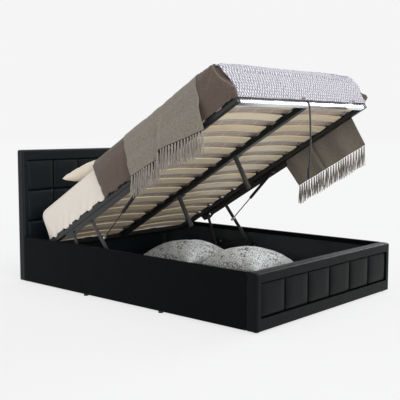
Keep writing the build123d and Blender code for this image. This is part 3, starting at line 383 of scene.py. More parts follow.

# %% [markdown]
# The side tubes meet the bars bolted under them in a dark line. It is painted shade, the shadow
# of the gap between them, drawn from the height above the joint in flat coordinates.

# %% Side tubes
tube_coat = start("tube_powder_coat", (0.028, 0.031, 0.031), 0.34, Specular_IOR_Level=0.3)
on_tube = {"Vector": add(tube_coat, "TexCoord").outputs["Object"], "Location": FLAT.to_translation(),
           "Rotation": (TILT, 0, 0)}
turned = add(tube_coat, "Mapping", on_tube).outputs["Vector"]
height = add(tube_coat, "SeparateXYZ", {"Vector": turned}).outputs["Z"]
off_joint = add(tube_coat, "Math", {0: height}, operation="ABSOLUTE").outputs[0]
# Painted shadow: near black within 2.8 mm of the joint, the coat's own colour beyond 4.5 mm.
joint_shadow_edge = add(tube_coat, "MapRange", {"Value": off_joint, "From Min": 0.0028, "From Max": 0.0045})
tint(tube_coat, joint_shadow_edge.outputs["Result"], [(0.0, (0.001, 0.001, 0.001)), (1.0, (0.027, 0.028, 0.028))])
peel = speckle(tube_coat, turned, 420.0, 2.0)
relief(tube_coat, [(peel, 0.25, 0.0004)])
rough(tube_coat, peel, 0.28, 0.42)
dress(both("platform_side_tube", "mechanism_bar"), tube_coat)

# %% [markdown]
# ## Plastic and rubber
#
# Slat holders, caps and glides are moulded black plastic with a spark-eroded surface. The feet of
# the centre legs are rubber, duller still.

# %% Plastic and rubber
plastic = grained("moulded_plastic", (0.016, 0.016, 0.017), 0.5, (700.0, 3.0), (0.3, 0.0003), (0.42, 0.6))
rubber = grained("rubber", (0.16, 0.17, 0.19), 0.5, (90.0, 4.0), (0.2, 0.0004),
                 stops=[(0.3, (0.014, 0.014, 0.014)), (0.8, (0.035, 0.035, 0.035))])
dress(both("slat_holders") + ["slat_holders_centre", "tube_end_caps", "floor_glides"], plastic)
dress(["leg_feet"], rubber)

# %% [markdown]
# ## Birch slats
#
# Each slat is bent birch plywood. The grain runs along it, across the bed, so the noise is
# stretched along X. A slow noise makes each slat a little lighter or darker than the next.

# %% Slats
birch = start("birch_ply", (0.78, 0.62, 0.40), 0.45, Coat_Weight=0.15)
fibre = speckle(birch, where(birch, (1.2, 34, 34)), 7.0, 8.0)
board = speckle(birch, where(birch, (0.4, 5, 5)), 1.4, 1.0)
mixed = weigh(birch, fibre, 0.55, board, 0.45)
tint(birch, mixed, [(0.32, (0.74, 0.56, 0.34)), (0.5, (0.88, 0.74, 0.52)), (0.68, (0.93, 0.83, 0.64))])
relief(birch, [(fibre, 0.2, 0.0004)])
rough(birch, fibre, 0.36, 0.54)
dress(both("slats"), birch)

# %% [markdown]
# ## Cloth finishes
#
# Each cloth is a weave: two sets of threads crossing, with slubs that thicken them here and there.
# The weaves read each piece's own UV map, measured in metres, so they bend with the cloth.

# %% Cloth finishes
def cloth(name, dark, light, pitch, uneven, depth, sheen, blotch=0.0):
    """A plain weave: thread spacing in metres, colours in the dips and on the threads, and uneven dye."""
    material = start(name, light, 0.9, Sheen_Weight=sheen, Sheen_Roughness=0.6, Specular_IOR_Level=0.25)
    place = where(material, uv=True)
    warp, weft = [threads(material, place, 0.5 / pitch, direction, uneven) for direction in "XY"]
    woven = combine(material, warp, weft, "MULTIPLY")
    slub = speckle(material, where(material, (1, 14, 1), uv=True), 60.0, 4.0)
    mixed = weigh(material, woven, 0.5, slub, 0.5)
    if blotch:
        clouds = {"Vector": where(material, (1.0, 2.4, 1.0), uv=True), "Scale": 48.0, "Detail": 6.0, "Roughness": 0.75}
        dye = add(material, "TexNoise", clouds).outputs["Fac"]
        spread = add(material, "MapRange", {"Value": dye, "From Min": 0.3, "From Max": 0.7})
        mixed = weigh(material, mixed, 1 - blotch, spread.outputs["Result"], 0.75 * blotch)
    tint(material, mixed, [(0.15, dark), (0.6, light)])
    relief(material, [(woven, 0.5, depth), (slub, 0.3, depth)])
    return material


duvet_cotton = cloth("duvet_cotton", (0.072, 0.047, 0.036), (0.146, 0.1, 0.078), 0.0016, 1.0, 0.0008, 0.2, 0.5)
throw_linen = cloth("throw_linen", (0.125, 0.105, 0.083), (0.335, 0.29, 0.236), 0.0055, 2.6, 0.0018, 0.2, 0.55)
fringe_yarn = cloth("fringe_yarn", (0.21, 0.185, 0.155), (0.46, 0.41, 0.36), 0.003, 2.0, 0.0006, 0.3)
sheet_cotton = cloth("sheet_cotton", (0.76, 0.70, 0.625), (0.88, 0.815, 0.735), 0.0012, 0.6, 0.0002, 0.15)
pillow_cotton = cloth("pillow_cotton", (0.72, 0.63, 0.51), (0.88, 0.79, 0.66), 0.0014, 0.8, 0.0003, 0.2)
webbing = cloth("strap_webbing", (0.012, 0.012, 0.012), (0.05, 0.05, 0.05), 0.002, 0.2, 0.0006, 0.1)
print("six woven cloths")

# %% [markdown]
# The ticking is a seventh weave, with pale stitched lines over it. The blanket is a tweed, where
# two sets of slanting waves cross. The cushions have a plain mosaic of small cells.

# %% Ticking, blanket and cushion patterns
ticking = cloth("mattress_ticking", (0.38, 0.30, 0.255), (0.60, 0.50, 0.43), 0.0025, 1.4, 0.0006, 0.1)
stitching = {"Vector": where(ticking, uv=True), "Scale": 1.0, "Mortar Size": 0.0035, "Brick Width": 0.16,
             "Row Height": 0.0685}
seams = add(ticking, "TexBrick", stitching, offset=0.0)
weave_colour = shader_of(ticking).inputs["Base Color"].links[0].from_socket
FACTOR, UNDER, OVER, MIXED = 0, 6, 7, 2
layers = {FACTOR: seams.outputs["Fac"], UNDER: weave_colour, OVER: (0.74, 0.68, 0.62, 1)}
seamed = add(ticking, "Mix", layers, data_type="RGBA")
wire(ticking, seamed.outputs[MIXED], "Base Color")

blanket_wool = start("blanket_tweed", (0.72, 0.70, 0.73), 0.95, Sheen_Weight=0.3, Specular_IOR_Level=0.2)
slanting, crossing = [threads(blanket_wool, where(blanket_wool, stretch, uv=True), scale, "DIAGONAL", bend, 2.0, 1.5)
                      for stretch, scale, bend in (((1, 0.62, 1), 27.0, 1.6), ((-1.4, 0.8, 1), 19.0, 2.2))]
lattice = combine(blanket_wool, slanting, crossing, "MULTIPLY")
flecks = speckle(blanket_wool, where(blanket_wool, uv=True), 130.0, 4.0)
mixed = weigh(blanket_wool, lattice, 0.5, flecks, 0.5)
tint(blanket_wool, mixed, [(0.20, (0.13, 0.12, 0.155)), (0.34, (0.42, 0.40, 0.45)), (0.48, (0.80, 0.79, 0.84))])
relief(blanket_wool, [(lattice, 0.6, 0.004), (flecks, 0.5, 0.0015)])

cushion_weave = start("cushion_mosaic", (0.6, 0.6, 0.6), 0.85, Sheen_Weight=0.2, Specular_IOR_Level=0.3)
place = where(cushion_weave, uv=True)
mosaic = cells(cushion_weave, place, 76.0, randomness=0.9)
mixed = weigh(cushion_weave, mosaic, 1.0, speckle(cushion_weave, place, 26.0, 3.0), 0.22)
tint(cushion_weave, mixed, [(0.117, (0.105, 0.085, 0.062)), (0.163, (0.50, 0.51, 0.51)), (0.222, (0.93, 0.98, 1.0))])
relief(cushion_weave, [(mosaic, 0.3, 0.001)])
print("ticking, blanket and cushion patterns")

# %% [markdown]
# ## Making a piece
#
# A piece is a bmesh turned into an object at the origin, with its place in its mesh. It rides on
# a CAD body and stands for the CAD solids it replaces.

# %% Helpers for pieces
def shade_smooth(mesh):
    mesh.polygons.foreach_set("use_smooth", [True] * len(mesh.polygons))


def make_piece(name, shape, material, replaced=(), body="platform", place=RAISED):
    """An object from a bmesh, riding on a body and standing for CAD nodes."""
    shape.transform(place)
    mesh = bpy.data.meshes.new(name)
    shape.to_mesh(mesh)
    shape.free()
    piece = put_in_scene(name, mesh)
    piece.data.materials.append(material)
    shade_smooth(mesh)
    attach(piece, body)
    if replaced:
        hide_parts(*replaced)
    print(name, len(mesh.polygons), "faces")
    return piece


def modify(piece, kind, **settings):
    """Add a modifier."""
    return set_all(piece.modifiers.new(kind.lower(), kind), **settings)


def settle(piece):
    """Apply every modifier, so the piece keeps its shape in its mesh, and shade it smooth."""
    evaluated = piece.evaluated_get(bpy.context.evaluated_depsgraph_get())
    mesh = bpy.data.meshes.new_from_object(evaluated)
    piece.modifiers.clear()
    piece.data = mesh
    shade_smooth(mesh)


def corners_of(piece):
    """The mesh's points as an array."""
    points = np.empty(len(piece.data.vertices) * 3)
    piece.data.vertices.foreach_get("co", points)
    return points.reshape(-1, 3)


def put_corners(piece, points):
    piece.data.vertices.foreach_set("co", points.ravel())
    piece.data.update()


def puff(piece, pressure, frames, cap, held="", stretch=15.0):
    """Blow a closed cloth up by simulation, moving no point more than cap."""
    before = corners_of(piece)
    modifier = modify(piece, "CLOTH")
    set_all(modifier.settings, quality=6, mass=0.25, tension_stiffness=stretch, compression_stiffness=stretch,
            shear_stiffness=stretch / 3, bending_stiffness=0.4, use_pressure=True, uniform_pressure_force=pressure,
            vertex_group_mass=held)
    modifier.settings.effector_weights.gravity = 0
    modifier.collision_settings.use_self_collision = False
    set_all(modifier.point_cache, frame_start=1, frame_end=frames)
    for step in range(1, frames + 1):
        scene.frame_set(step)
    settle(piece)
    scene.frame_set(1)
    moved = corners_of(piece) - before
    far = np.linalg.norm(moved, axis=1, keepdims=True)
    put_corners(piece, before + moved * np.minimum(1, cap / np.maximum(far, 1e-9)))
    print(piece.name, "moved up to", round(float(min(far.max(), cap)) * 1000, 1), "mm")


print("piece helpers ready")

# %% [markdown]
# ## Padded leather squares
#
# The footboard has a row of stitched squares and the headboard three rows. Each square is a skin
# pulled over wadding: high in the middle, pulled down hard at the seams, with small puckers along
# them. One grid per square, raised by a smooth crown, gives that shape.

# %% Padded squares
HALF_WIDTH = 0.725
FOOT_FACE = -1.0575
HEAD_FACE = 0.9875
GLIDE = 0.012
BORDER = 0.04
RECESS = 0.013
CROWN = 0.0115
SEAM = 0.001
COLUMNS = 6
SQUARE = (2 * HALF_WIDTH - 2 * BORDER) / COLUMNS
FOOT_MIDDLE, FOOT_HEIGHT = GLIDE + 0.1625, 0.192
HEAD_BASE, HEAD_ROW, HEAD_HEIGHT = GLIDE + 0.199, 0.217, 0.216


def ripple(x, y, z):
    """Smooth noise from -1 to 1."""
    return noise.noise(Vector((x, y, z)))


def padded_square(shape, middle_x, middle_z, height, back):
    """A crowned square on a board, its back on the plane y = back."""
    made = bmesh.ops.create_grid(shape, x_segments=18, y_segments=18, size=0.5)["verts"]
    for vert in made:
        u, v = 2 * vert.co.x, 2 * vert.co.y
        edge = max(abs(u), abs(v))
        dome = ((1 - abs(u) ** 3.2) * (1 - abs(v) ** 3.2)) ** 0.55 if edge < 0.999 else 0
        spot = Vector((middle_x + u * (SQUARE - SEAM) / 2, back, middle_z + v * height / 2))
        pucker = ripple(spot.x * 60, spot.z * 60, 1.7) * 0.0011 * edge ** 3
        spot.y -= CROWN * dome + pucker * dome
        vert.co = spot
    rim = [e for e in {e for v in made for e in v.link_edges} if e.is_boundary]
    bmesh.ops.holes_fill(shape, edges=rim, sides=0)


def pads(name, material, middles, height, face, node):
    """Rows of padded squares, one row at each height in middles."""
    shape = bmesh.new()
    for middle_z in middles:
        for column in range(COLUMNS):
            middle_x = -HALF_WIDTH + BORDER + (column + 0.5) * SQUARE
            padded_square(shape, middle_x, middle_z, height, face + RECESS)
    make_piece(name, shape, material, [node], "bed_box", STILL)


pads("footboard_pads", leather, [FOOT_MIDDLE], FOOT_HEIGHT, FOOT_FACE, "footboard_squares")
pads("headboard_pads", head_leather_painted_light, [HEAD_BASE + (row + 0.5) * HEAD_ROW for row in range(3)], HEAD_HEIGHT,
     HEAD_FACE, "headboard_squares")

# %% [markdown]
# ## Even skins
#
# Cloth needs evenly sized faces. A block with rounded edges is made first, then a voxel remesh
# turns it into small squares all over, ready for wrinkles.

# %% Even skins
def even_skin(piece, voxel, rounds=2):
    """Remesh a closed form into even squares and smooth it a little."""
    modify(piece, "REMESH", mode="VOXEL", voxel_size=voxel)
    modify(piece, "SMOOTH", factor=0.5, iterations=rounds)
    settle(piece)


def soft_block(shape, low, high, corner, top_edge, bottom_edge):
    """A block between two points, with round upright corners and rounded edges."""
    bmesh.ops.create_cube(shape, size=1)
    size = Vector(high) - Vector(low)
    for vert in shape.verts:
        vert.co = Vector([low[i] + (vert.co[i] + 0.5) * size[i] for i in range(3)])
    upright = [e for e in shape.edges if abs(e.verts[0].co.z - e.verts[1].co.z) > size.z / 2]
    bmesh.ops.bevel(shape, geom=upright, offset=corner, affect="EDGES", segments=8, profile=0.5, material=-1)
    for height, radius in ((high[2], top_edge), (low[2], bottom_edge)):
        rim = [e for e in shape.edges if all(abs(v.co.z - height) < 1e-5 for v in e.verts)]
        bmesh.ops.bevel(shape, geom=rim, offset=radius, affect="EDGES", segments=6, profile=0.5, material=-1)


def flat_points(piece):
    """The mesh's points on the flat platform, as an array."""
    turn = np.array(FLAT)
    return corners_of(piece) @ turn[:3, :3].T + turn[:3, 3]


def put_flat(piece, points):
    turn = np.array(RAISED)
    put_corners(piece, points @ turn[:3, :3].T + turn[:3, 3])


def ease(values):
    """A smooth step from 0 to 1."""
    values = np.clip(values, 0, 1)
    return values * values * (3 - 2 * values)


def box_uv(piece, flat_from_world=FLAT):
    """UVs in metres, taken from whichever flat plane each face looks along."""
    layer = piece.data.uv_layers.new(name="weave")
    turn = flat_from_world.to_3x3()
    for polygon in piece.data.polygons:
        facing = turn @ polygon.normal
        axis = max(range(3), key=lambda i: abs(facing[i]))
        for loop in polygon.loop_indices:
            spot = flat_from_world @ piece.data.vertices[piece.data.loops[loop].vertex_index].co
            layer.data[loop].uv = [spot[i] for i in range(3) if i != axis]


def wrinkle(piece, amount):
    """Move each point along its normal by amount(flat point, flat normal)."""
    turn = FLAT.to_3x3()
    normals = np.empty(3 * len(piece.data.vertices))
    piece.data.vertex_normals.foreach_get("vector", normals)
    normals = normals.reshape(-1, 3)
    points = corners_of(piece)
    moves = [amount(FLAT @ Vector(point), turn @ Vector(normal)) for point, normal in zip(points, normals)]
    put_corners(piece, points + normals * np.array(moves)[:, None])


print("even skins ready")

# %% [markdown]
# ## Mattress and fitted sheet
#
# The mattress shows only from below, between the slats: a quilted cover with stitched lines about
# 20 cm apart. The fitted sheet is stretched over it, with pulls that run down to its elastic hem.

# %% Mattress
MATTRESS_LOW = (-0.675, 0.008, 0.0504)
MATTRESS_HIGH = (0.675, 1.904, 0.2624)
shape = bmesh.new()
soft_block(shape, MATTRESS_LOW, MATTRESS_HIGH, 0.0585, 0.057, 0.012)
mattress = make_piece("mattress_cover", shape, ticking, ["mattress"])
even_skin(mattress, 0.016)


def quilting(spot, facing):
    """Stitched channels on the underside, and the rest a little in."""
    if facing.z < -0.5:
        across = abs(math.sin(math.pi * spot.x / 0.2))
        along = abs(math.sin(math.pi * spot.y / 0.14))
        return 0.003 * min(1, across * 3) * min(1, along * 2.5) - 0.0035
    return -0.001


wrinkle(mattress, quilting)
box_uv(mattress)

# %% Fitted sheet
HEM = 0.031
HEM_HIGH = 0.046
HEM_PULL = 0.09
OUTSIDE = 0.0016
shape = bmesh.new()
low = (MATTRESS_LOW[0] - OUTSIDE, MATTRESS_LOW[1] - OUTSIDE, -0.02)
high = (MATTRESS_HIGH[0] + OUTSIDE, MATTRESS_HIGH[1] + OUTSIDE, MATTRESS_HIGH[2] + 0.0018)
soft_block(shape, low, high, 0.060, 0.0585, 0.010)
sheet = make_piece("stretched_sheet", shape, sheet_cotton, ["fitted_sheet"])
even_skin(sheet, 0.012)
shape = bmesh.new()
shape.from_mesh(sheet.data)
bmesh.ops.bisect_plane(shape, geom=shape.verts[:] + shape.edges[:] + shape.faces[:], clear_inner=True,
                       plane_co=RAISED @ Vector((0, 0, HEM)), plane_no=RAISED.to_3x3() @ Vector((0, 0, 1)))
shape.to_mesh(sheet.data)
shape.free()

# %% [markdown]
# At the head the hem rises over each slat holder and hangs lower between them. The holders'
# places come from the CAD node: its points are sorted along the tube and split at the gaps.

# %% Hem and pulls
holders = []
for s in sorted((FLAT @ v.co).y for v in nodes["slat_holders_left"].data.vertices):
    if holders and s - holders[-1][1] < 0.03:
        holders[-1][1] = s
    else:
        holders.append([s, s])
print(len(holders), "slat holders a side")
spots = flat_points(sheet)
x, s, n = spots.T
away = np.min([np.maximum(np.maximum(low - s, s - high), 0) for low, high in holders], axis=0)
at_side = ease((abs(x) - 0.63) / 0.03)
bare = ease((s - 1.16) / 0.05)
hem_line = HEM_HIGH - 0.015 * bare * (1 - at_side * (1 - ease(away / 0.022)))
stretched = HEM_PULL - (HEM_PULL - n) * ((HEM_PULL - hem_line) / (HEM_PULL - HEM))
n[:] = np.where(n < HEM_PULL, stretched, n)
put_flat(sheet, spots)


def pulls(spot, facing):
    """Slanting pulls near the hem and slow waves on top."""
    if facing.z > 0.7:
        return 0.0004 + 0.001 * ripple(spot.x * 5, spot.y * 3, 2)
    down = max(0, min(1, (0.17 - spot.z) / 0.13)) ** 1.5
    along = spot.y if abs(facing.x) > abs(facing.y) else spot.x
    fold = math.sin(along * 64 + spot.z * 40 + 5 * ripple(along * 6, spot.z * 9, 0))
    slow = 0.0015 * ripple(along * 4, spot.z * 8, 5)
    return 0.0008 + slow + 0.0065 * down * max(-0.2, fold)


wrinkle(sheet, pulls)
box_uv(sheet)
modify(sheet, "SOLIDIFY", thickness=0.0012, offset=1.0)
settle(sheet)
print("fitted sheet", len(sheet.data.polygons), "faces")

# %% [markdown]
# ## Duvet
#
# The duvet is a padded bag. Its CAD solid has the main form: crowned on top, bulging at the sides,
# hollow where the mattress is. A copy is remeshed, its inside is pinned, and a short cloth
# simulation with a little pressure plumps the rest. Soft creases come after.

# %% Duvet
LINING_SIDE = 0.686
LINING_TOP = 0.274
LINING_LOW = 0.055
shape = bmesh.new()
shape.from_mesh(nodes["duvet"].data)
bmesh.ops.remove_doubles(shape, verts=shape.verts, dist=0.00001)
duvet = make_piece("duvet_cover", shape, duvet_cotton, ["duvet"], place=STILL)
even_skin(duvet, 0.012, 3)


def lining(spot):
    """Whether a flat point is on the inside, which lies on the mattress."""
    return abs(spot.x) < LINING_SIDE and spot.z < LINING_TOP and spot.y > -0.002 or spot.z < LINING_LOW


pinned = duvet.vertex_groups.new(name="lining")
pinned.add([v.index for v in duvet.data.vertices if lining(FLAT @ v.co)], 1.0, "REPLACE")
puff(duvet, 2.5, 10, 0.006, held=pinned.name)


def creases(spot, facing):
    """Long soft creases, none of them on the lining."""
    if lining(spot):
        return 0.0
    slow = ripple(spot.x * 2.2, spot.y * 2.6, spot.z * 3)
    fine = ripple(spot.x * 9, spot.y * 11 + spot.z * 5, spot.z * 9)
    crease = abs(ripple(spot.x * 5 + 3, spot.y * 6, spot.z * 6 + spot.y * 3))
    return 0.004 * slow + 0.0022 * fine - 0.004 * max(0, 0.12 - crease) / 0.12


wrinkle(duvet, creases)
spots = flat_points(duvet)
x, s, n = spots.T
n -= 0.014 * (ease((0.17 - s) / 0.13) * ease((abs(x) - 0.40) / 0.25) * ease((n - 0.14) / 0.1))
put_flat(duvet, spots)


def tree_of(piece):
    """A search tree of the piece's surface, in flat coordinates."""
    faces = [tuple(polygon.vertices) for polygon in piece.data.polygons]
    return BVHTree.FromPolygons([Vector(point) for point in flat_points(piece)], faces)


plain_tree = tree_of(duvet)
print("duvet plumped and creased")

# %% [markdown]
# The duvet's skirt reaches down to the tubes. At the foot corner the cover is folded like an
# envelope: its piped edge runs slanting down to a pointed tip, and the cloth beside it is tucked
# in. The fold is a step in the surface along that slanting line, and needs finer faces there.

# %% Skirt
SKIRT_LOW, SKIRT_TOP = 0.0265, 0.095
MARK = 0.02
shape = bmesh.new()
shape.from_mesh(duvet.data)
near_corner = []
for edge in shape.edges:
    middle = FLAT @ ((edge.verts[0].co + edge.verts[1].co) / 2)
    if abs(middle.x) > 0.62 and middle.y < 0.14 and middle.z > 0.02:
        near_corner.append(edge)
bmesh.ops.subdivide_edges(shape, edges=near_corner, cuts=1, use_grid_fill=True)
shape.to_mesh(duvet.data)
shape.free()
spots = flat_points(duvet)
x, s, n = spots.T
across, side = abs(x), np.sign(x)
outer = np.maximum(ease((across - LINING_SIDE) / 0.008), ease((0.004 - s) / 0.008))
hanging = across > LINING_SIDE
for chosen, along in ((hanging & (side < 0), s), (hanging & (side > 0), s), (~hanging & (s < 0.004), x)):
    places = along[chosen]
    marks = np.arange(places.min(), places.max() + MARK, MARK)
    outmost = n[chosen] + 0.03 * (outer[chosen] < 0.95)
    lows = np.array([outmost[abs(places - mark) < MARK].min(initial=0.066) for mark in marks])
    local = np.interp(along, marks, lows)
    stretched = SKIRT_LOW + (n - local) * (SKIRT_TOP - SKIRT_LOW) / (SKIRT_TOP - local)
    lowest = np.where(along is s, 0.0285 - 0.002 * (across > 0.6955), 0.033)
    moving = chosen & (n < SKIRT_TOP)
    n[moving] = np.maximum(n + outer * (stretched - n), lowest)[moving]
near_rail = (across > 0.69) & (n < 0.08)
x[near_rail] = (side * np.maximum(across, 0.6975))[near_rail]
print("the skirt's lowest point is at n", round(float(n.min()), 4))

# %% Corner fold
PIPING = np.array([(0.014, 0.028), (-0.012, 0.053), (-0.034, 0.074), (-0.020, 0.098), (-0.002, 0.125),
                   (0.020, 0.171), (0.037, 0.223), (0.048, 0.265), (0.056, 0.292)])
MATTRESS_CORNER = 0.06
across = abs(x)
beyond = s - np.interp(n, PIPING[:, 1], PIPING[:, 0])
on_side = ease((across - 0.64) / 0.03) * ease((n - 0.045) / 0.02)
panel = 0.009 * ease(beyond / 0.010) * (1 - ease((beyond - 0.02) / 0.13))
depth = 0.014 + 0.016 * (1 - ease((n - 0.12) / 0.12)) + 0.025 * ease((0.085 - n) / 0.03)
tucked = -depth * ease(-beyond / 0.009) * ease((s + 0.025) / 0.02)
around = np.clip(MATTRESS_CORNER - np.maximum(s - 0.0064, 0), 0, MATTRESS_CORNER)
mattress_side = 0.617 + np.sqrt(MATTRESS_CORNER * MATTRESS_CORNER - around ** 2) + 0.005
tucked = np.maximum(tucked, np.minimum(mattress_side - across, 0))
x += side * on_side * (panel + tucked)
tip = np.exp(-((n - 0.070) / 0.024) ** 2) * ease((0.035 - s) / 0.04) * ease((across - 0.665) / 0.02)
s -= 0.027 * tip
put_flat(duvet, spots)
box_uv(duvet)
shade_smooth(duvet.data)
duvet_tree = tree_of(duvet)
print("duvet", len(duvet.data.polygons), "faces")

# %% [markdown]
# ## Throw and blanket
#
# The throw is one linen sheet across the bed. Its path goes up one side, over the duvet and down
# the other side, where it hangs free. Every point of the sheet is placed on that path and then
# dropped onto the duvet's real surface with a ray, so it lies on every crease.

# %% Paths over the duvet
THROW_SIDE = 0.736
THROW_BEND = 0.236
THROW_TOP = 0.64


def throw_line(left_low, right_low):
    """The throw's cross path, from the left hem to the right hem."""
    side = [(-THROW_SIDE, 0.078), (-0.7135, THROW_BEND)]
    for step in range(1, 8):
        turn = math.pi / 2 * step / 8
        side.append((-0.645 - 0.0685 * math.cos(turn), THROW_BEND + 0.065 * math.sin(turn)))
    top = []
    for step in range(25):
        x = -THROW_TOP + 2 * THROW_TOP * step / 24
        top.append((x, 0.301 + 0.0132 * (1 - (x / THROW_TOP) ** 2)))
    other_side = [(-x, n) for x, n in reversed(side)]
    points = [(-THROW_SIDE, left_low)] + side + top + other_side + [(THROW_SIDE, right_low)]
    return [Vector((x, 0, n)) for x, n in points]


def along_path(points, axis):
    """A function from a share of the path's length to its point and its outward normal, and the length."""
    lengths = [0.0]
    for a, b in zip(points, points[1:]):
        lengths.append(lengths[-1] + (b - a).length)

    def spot(share):
        goal = share * lengths[-1]
        i = max(k for k in range(len(points) - 1) if lengths[k] <= goal + 1e-9)
        a, b = points[i], points[i + 1]
        run = (goal - lengths[i]) / max(lengths[i + 1] - lengths[i], 1e-9)
        direction = (b - a).normalized()
        outward = Vector((0, 0, direction[axis]))
        outward[axis] = -direction.z
        return a.lerp(b, run), outward

    return spot, lengths[-1]


def onto_duvet(spot, outward, clearance, surface):
    """The point moved along its normal to lie this far off the duvet."""
    found = surface.ray_cast(spot + outward * 0.06, -outward, 0.16)[0]
    return spot if found is None else found + outward * clearance


def cloth_grid(name, across, along, place_point, material, replaced):
    """A sheet from a grid; place_point(u, v) gives each point, and UVs are in metres."""
    shape = bmesh.new()
    layer = shape.loops.layers.uv.new("weave")
    bmesh.ops.create_grid(shape, x_segments=across[0], y_segments=along[0], size=0.5)
    for face in shape.faces:
        for loop in face.loops:
            loop[layer].uv = ((loop.vert.co.x + 0.5) * across[1], (loop.vert.co.y + 0.5) * along[1])
    for vert in shape.verts:
        vert.co = place_point(vert.co.x + 0.5, vert.co.y + 0.5)
    bmesh.ops.reverse_faces(shape, faces=shape.faces[:])
    return make_piece(name, shape, material, replaced)


def thicken(piece, thickness):
    modify(piece, "SOLIDIFY", thickness=thickness, offset=0.0)
    modify(piece, "SUBSURF", levels=1, render_levels=1)
    settle(piece)


LEFT_HEM, RIGHT_HEM = -0.006, -0.195
throw_path, throw_long = along_path(throw_line(LEFT_HEM, RIGHT_HEM), 0)
print("the throw is", round(throw_long, 3), "m long")

# %% [markdown]
# The throw's edges lean a little as it falls. On the left its hem steps down at a pleat, with a
# soft ridge along it, and below the duvet both ends hang in waves.

# %% Throw
THROW_WIDE = 0.69
PLEAT = 0.56


def within(value):
    return max(0.0, min(1.0, value))


def throw_edges(x, n):
    """Where the throw's foot and head edges run at this height on this side."""
    fall = max(0.0, 0.25 - n) / 0.25
    to_right = float(ease((x + 0.6) / 1.2))
    left = (0.178 + 0.048 * fall, 0.863 + 0.015 * fall)
    right = (0.158 - 0.004 * fall, 0.845 - 0.045 * fall)
    return [a + (b - a) * to_right for a, b in zip(left, right)]


def throw_point(u, v):
    """The place of a point of the throw, u along the bed and v from the left hem to the right."""
    spot, outward = throw_path(v)
    if spot.z < 0.078 and spot.x < 0:
        step = 0.046 * u / PLEAT * float(ease((0.60 - u) / 0.04))
        spot.z += (0.078 - spot.z) / 0.084 * (0.026 - 0.052 * (1 - u) + step)
    foot, head = throw_edges(spot.x, spot.z)
    spot.y = foot + u * (head - foot)
    hanging = within((0.20 - spot.z) / 0.20)
    if spot.z > 0.10:
        settled = onto_duvet(spot, outward, 0.0035, duvet_tree)
        spot = settled.lerp(spot, within((0.15 - spot.z) / 0.05))
    waves = 0.5 + 0.5 * math.sin(u * 19 + 1.3 * ripple(u * 3, v * 9, 0))
    ridge = math.exp(-((u - 0.585 + 0.10 * max(0.0, spot.z) / 0.257) / 0.018) ** 2)
    push = hanging * (0.009 * waves - 0.003) + 0.012 * ridge * within((0.27 - spot.z) / 0.10)
    push += 0.001 * ripple(u * 6, v * 20, 4)
    return spot + outward * push


throw = cloth_grid("linen_throw", (70, THROW_WIDE), (220, throw_long), throw_point, throw_linen,
                   ["throw"])
thicken(throw, 0.003)

# %% [markdown]
# ### Tassels
#
# The throw ends in knotted tassels. Each is a small knot with a few twisted strands below it that
# hang plumb, so they all point straight down although the bed is tilted.

# %% Tassels
TASSEL = 0.138
TASSELS = 27
STRANDS = 7
STEPS = 7
KNOT = 0.012


def tassel(shape, top, seed):
    """A knot and its wavy strands, hanging straight down from top, in flat coordinates."""
    plumb = DOWN.normalized()
    side = plumb.orthogonal().normalized()
    turn = Matrix((side, plumb.cross(side), -plumb)).transposed().to_4x4()
    knot = Matrix.Translation(top + plumb * 0.010) @ turn @ Matrix.Diagonal((1, 1, 1.5, 1))
    bmesh.ops.create_icosphere(shape, subdivisions=1, radius=0.0062, matrix=knot)
    for strand in range(STRANDS):
        angle = strand * 2.4 + seed
        reach = TASSEL * (0.86 + 0.14 * abs(math.sin(seed * 3 + strand * 1.9)))
        ring = bmesh.ops.create_circle(shape, cap_ends=False, segments=4, radius=0.0026)["verts"]
        edges = list({e for v in ring for e in v.link_edges})
        rings = [ring]
        for _ in range(STEPS):
            made = bmesh.ops.extrude_edge_only(shape, edges=edges)["geom"]
            rings.append([g for g in made if isinstance(g, bmesh.types.BMVert)])
            edges = [g for g in made if isinstance(g, bmesh.types.BMEdge) and all(v in rings[-1] for v in g.verts)]
        for level, ring in enumerate(rings):
            fallen = level / STEPS
            spread = 0.002 + 0.0085 * fallen
            sway = 0.0022 * math.sin(fallen * 9 + seed * 5 + strand)
            thick = 1 - 0.35 * fallen
            for vert in ring:
                local = Vector((vert.co.x * thick + math.cos(angle) * spread + sway,
                                vert.co.y * thick + math.sin(angle) * spread + sway * 0.6,
                                -KNOT - fallen * (reach - KNOT)))
                vert.co = Matrix.Translation(top) @ turn @ local


def fringe(name, side, node):
    """A row of tassels along one hem of the throw."""
    shape = bmesh.new()
    for i in range(TASSELS):
        tassel(shape, throw_point((i + 0.5) / TASSELS, 0.0 if side < 0 else 1.0), i * 1.7 + side)
    piece = make_piece(name, shape, fringe_yarn, [node])
    box_uv(piece)
    return piece


left_fringe = fringe("throw_tassels_left", -1, "throw_fringe_left")
right_fringe = fringe("throw_tassels_right", 1, "throw_fringe_right")
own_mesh(right_fringe)

# %% [markdown]
# ### Blanket
#
# Only the blanket's foot end is seen, from the foot face round the edge to the top. It is laid on
# the duvet as it was before the corner was folded, and then pushed clear of the fold.

# %% Blanket
BLANKET_HALF = 0.70
FOOT_OUT = -0.0125
BEND_START = 0.169
BEND = 0.1445
CLEAR = 0.0045
EDGE = np.array([(0.03, 0.680), (0.060, 0.670), (0.105, 0.668), (0.132, 0.682), (0.179, 0.697), (0.25, 0.690),
                 (0.287, 0.665), (0.300, 0.64), (0.3125, 0.60)])
foot_line = [Vector((0, FOOT_OUT, 0.0265)), Vector((0, FOOT_OUT, BEND_START))]
for step in range(1, 11):
    turn = math.pi / 2 * step / 10
    foot_line.append(Vector((0, 0.132 - BEND * math.cos(turn), BEND_START + BEND * math.sin(turn))))
foot_line.append(Vector((0, 0.1495, 0.3136)))
blanket_path, blanket_deep = along_path(foot_line, 1)


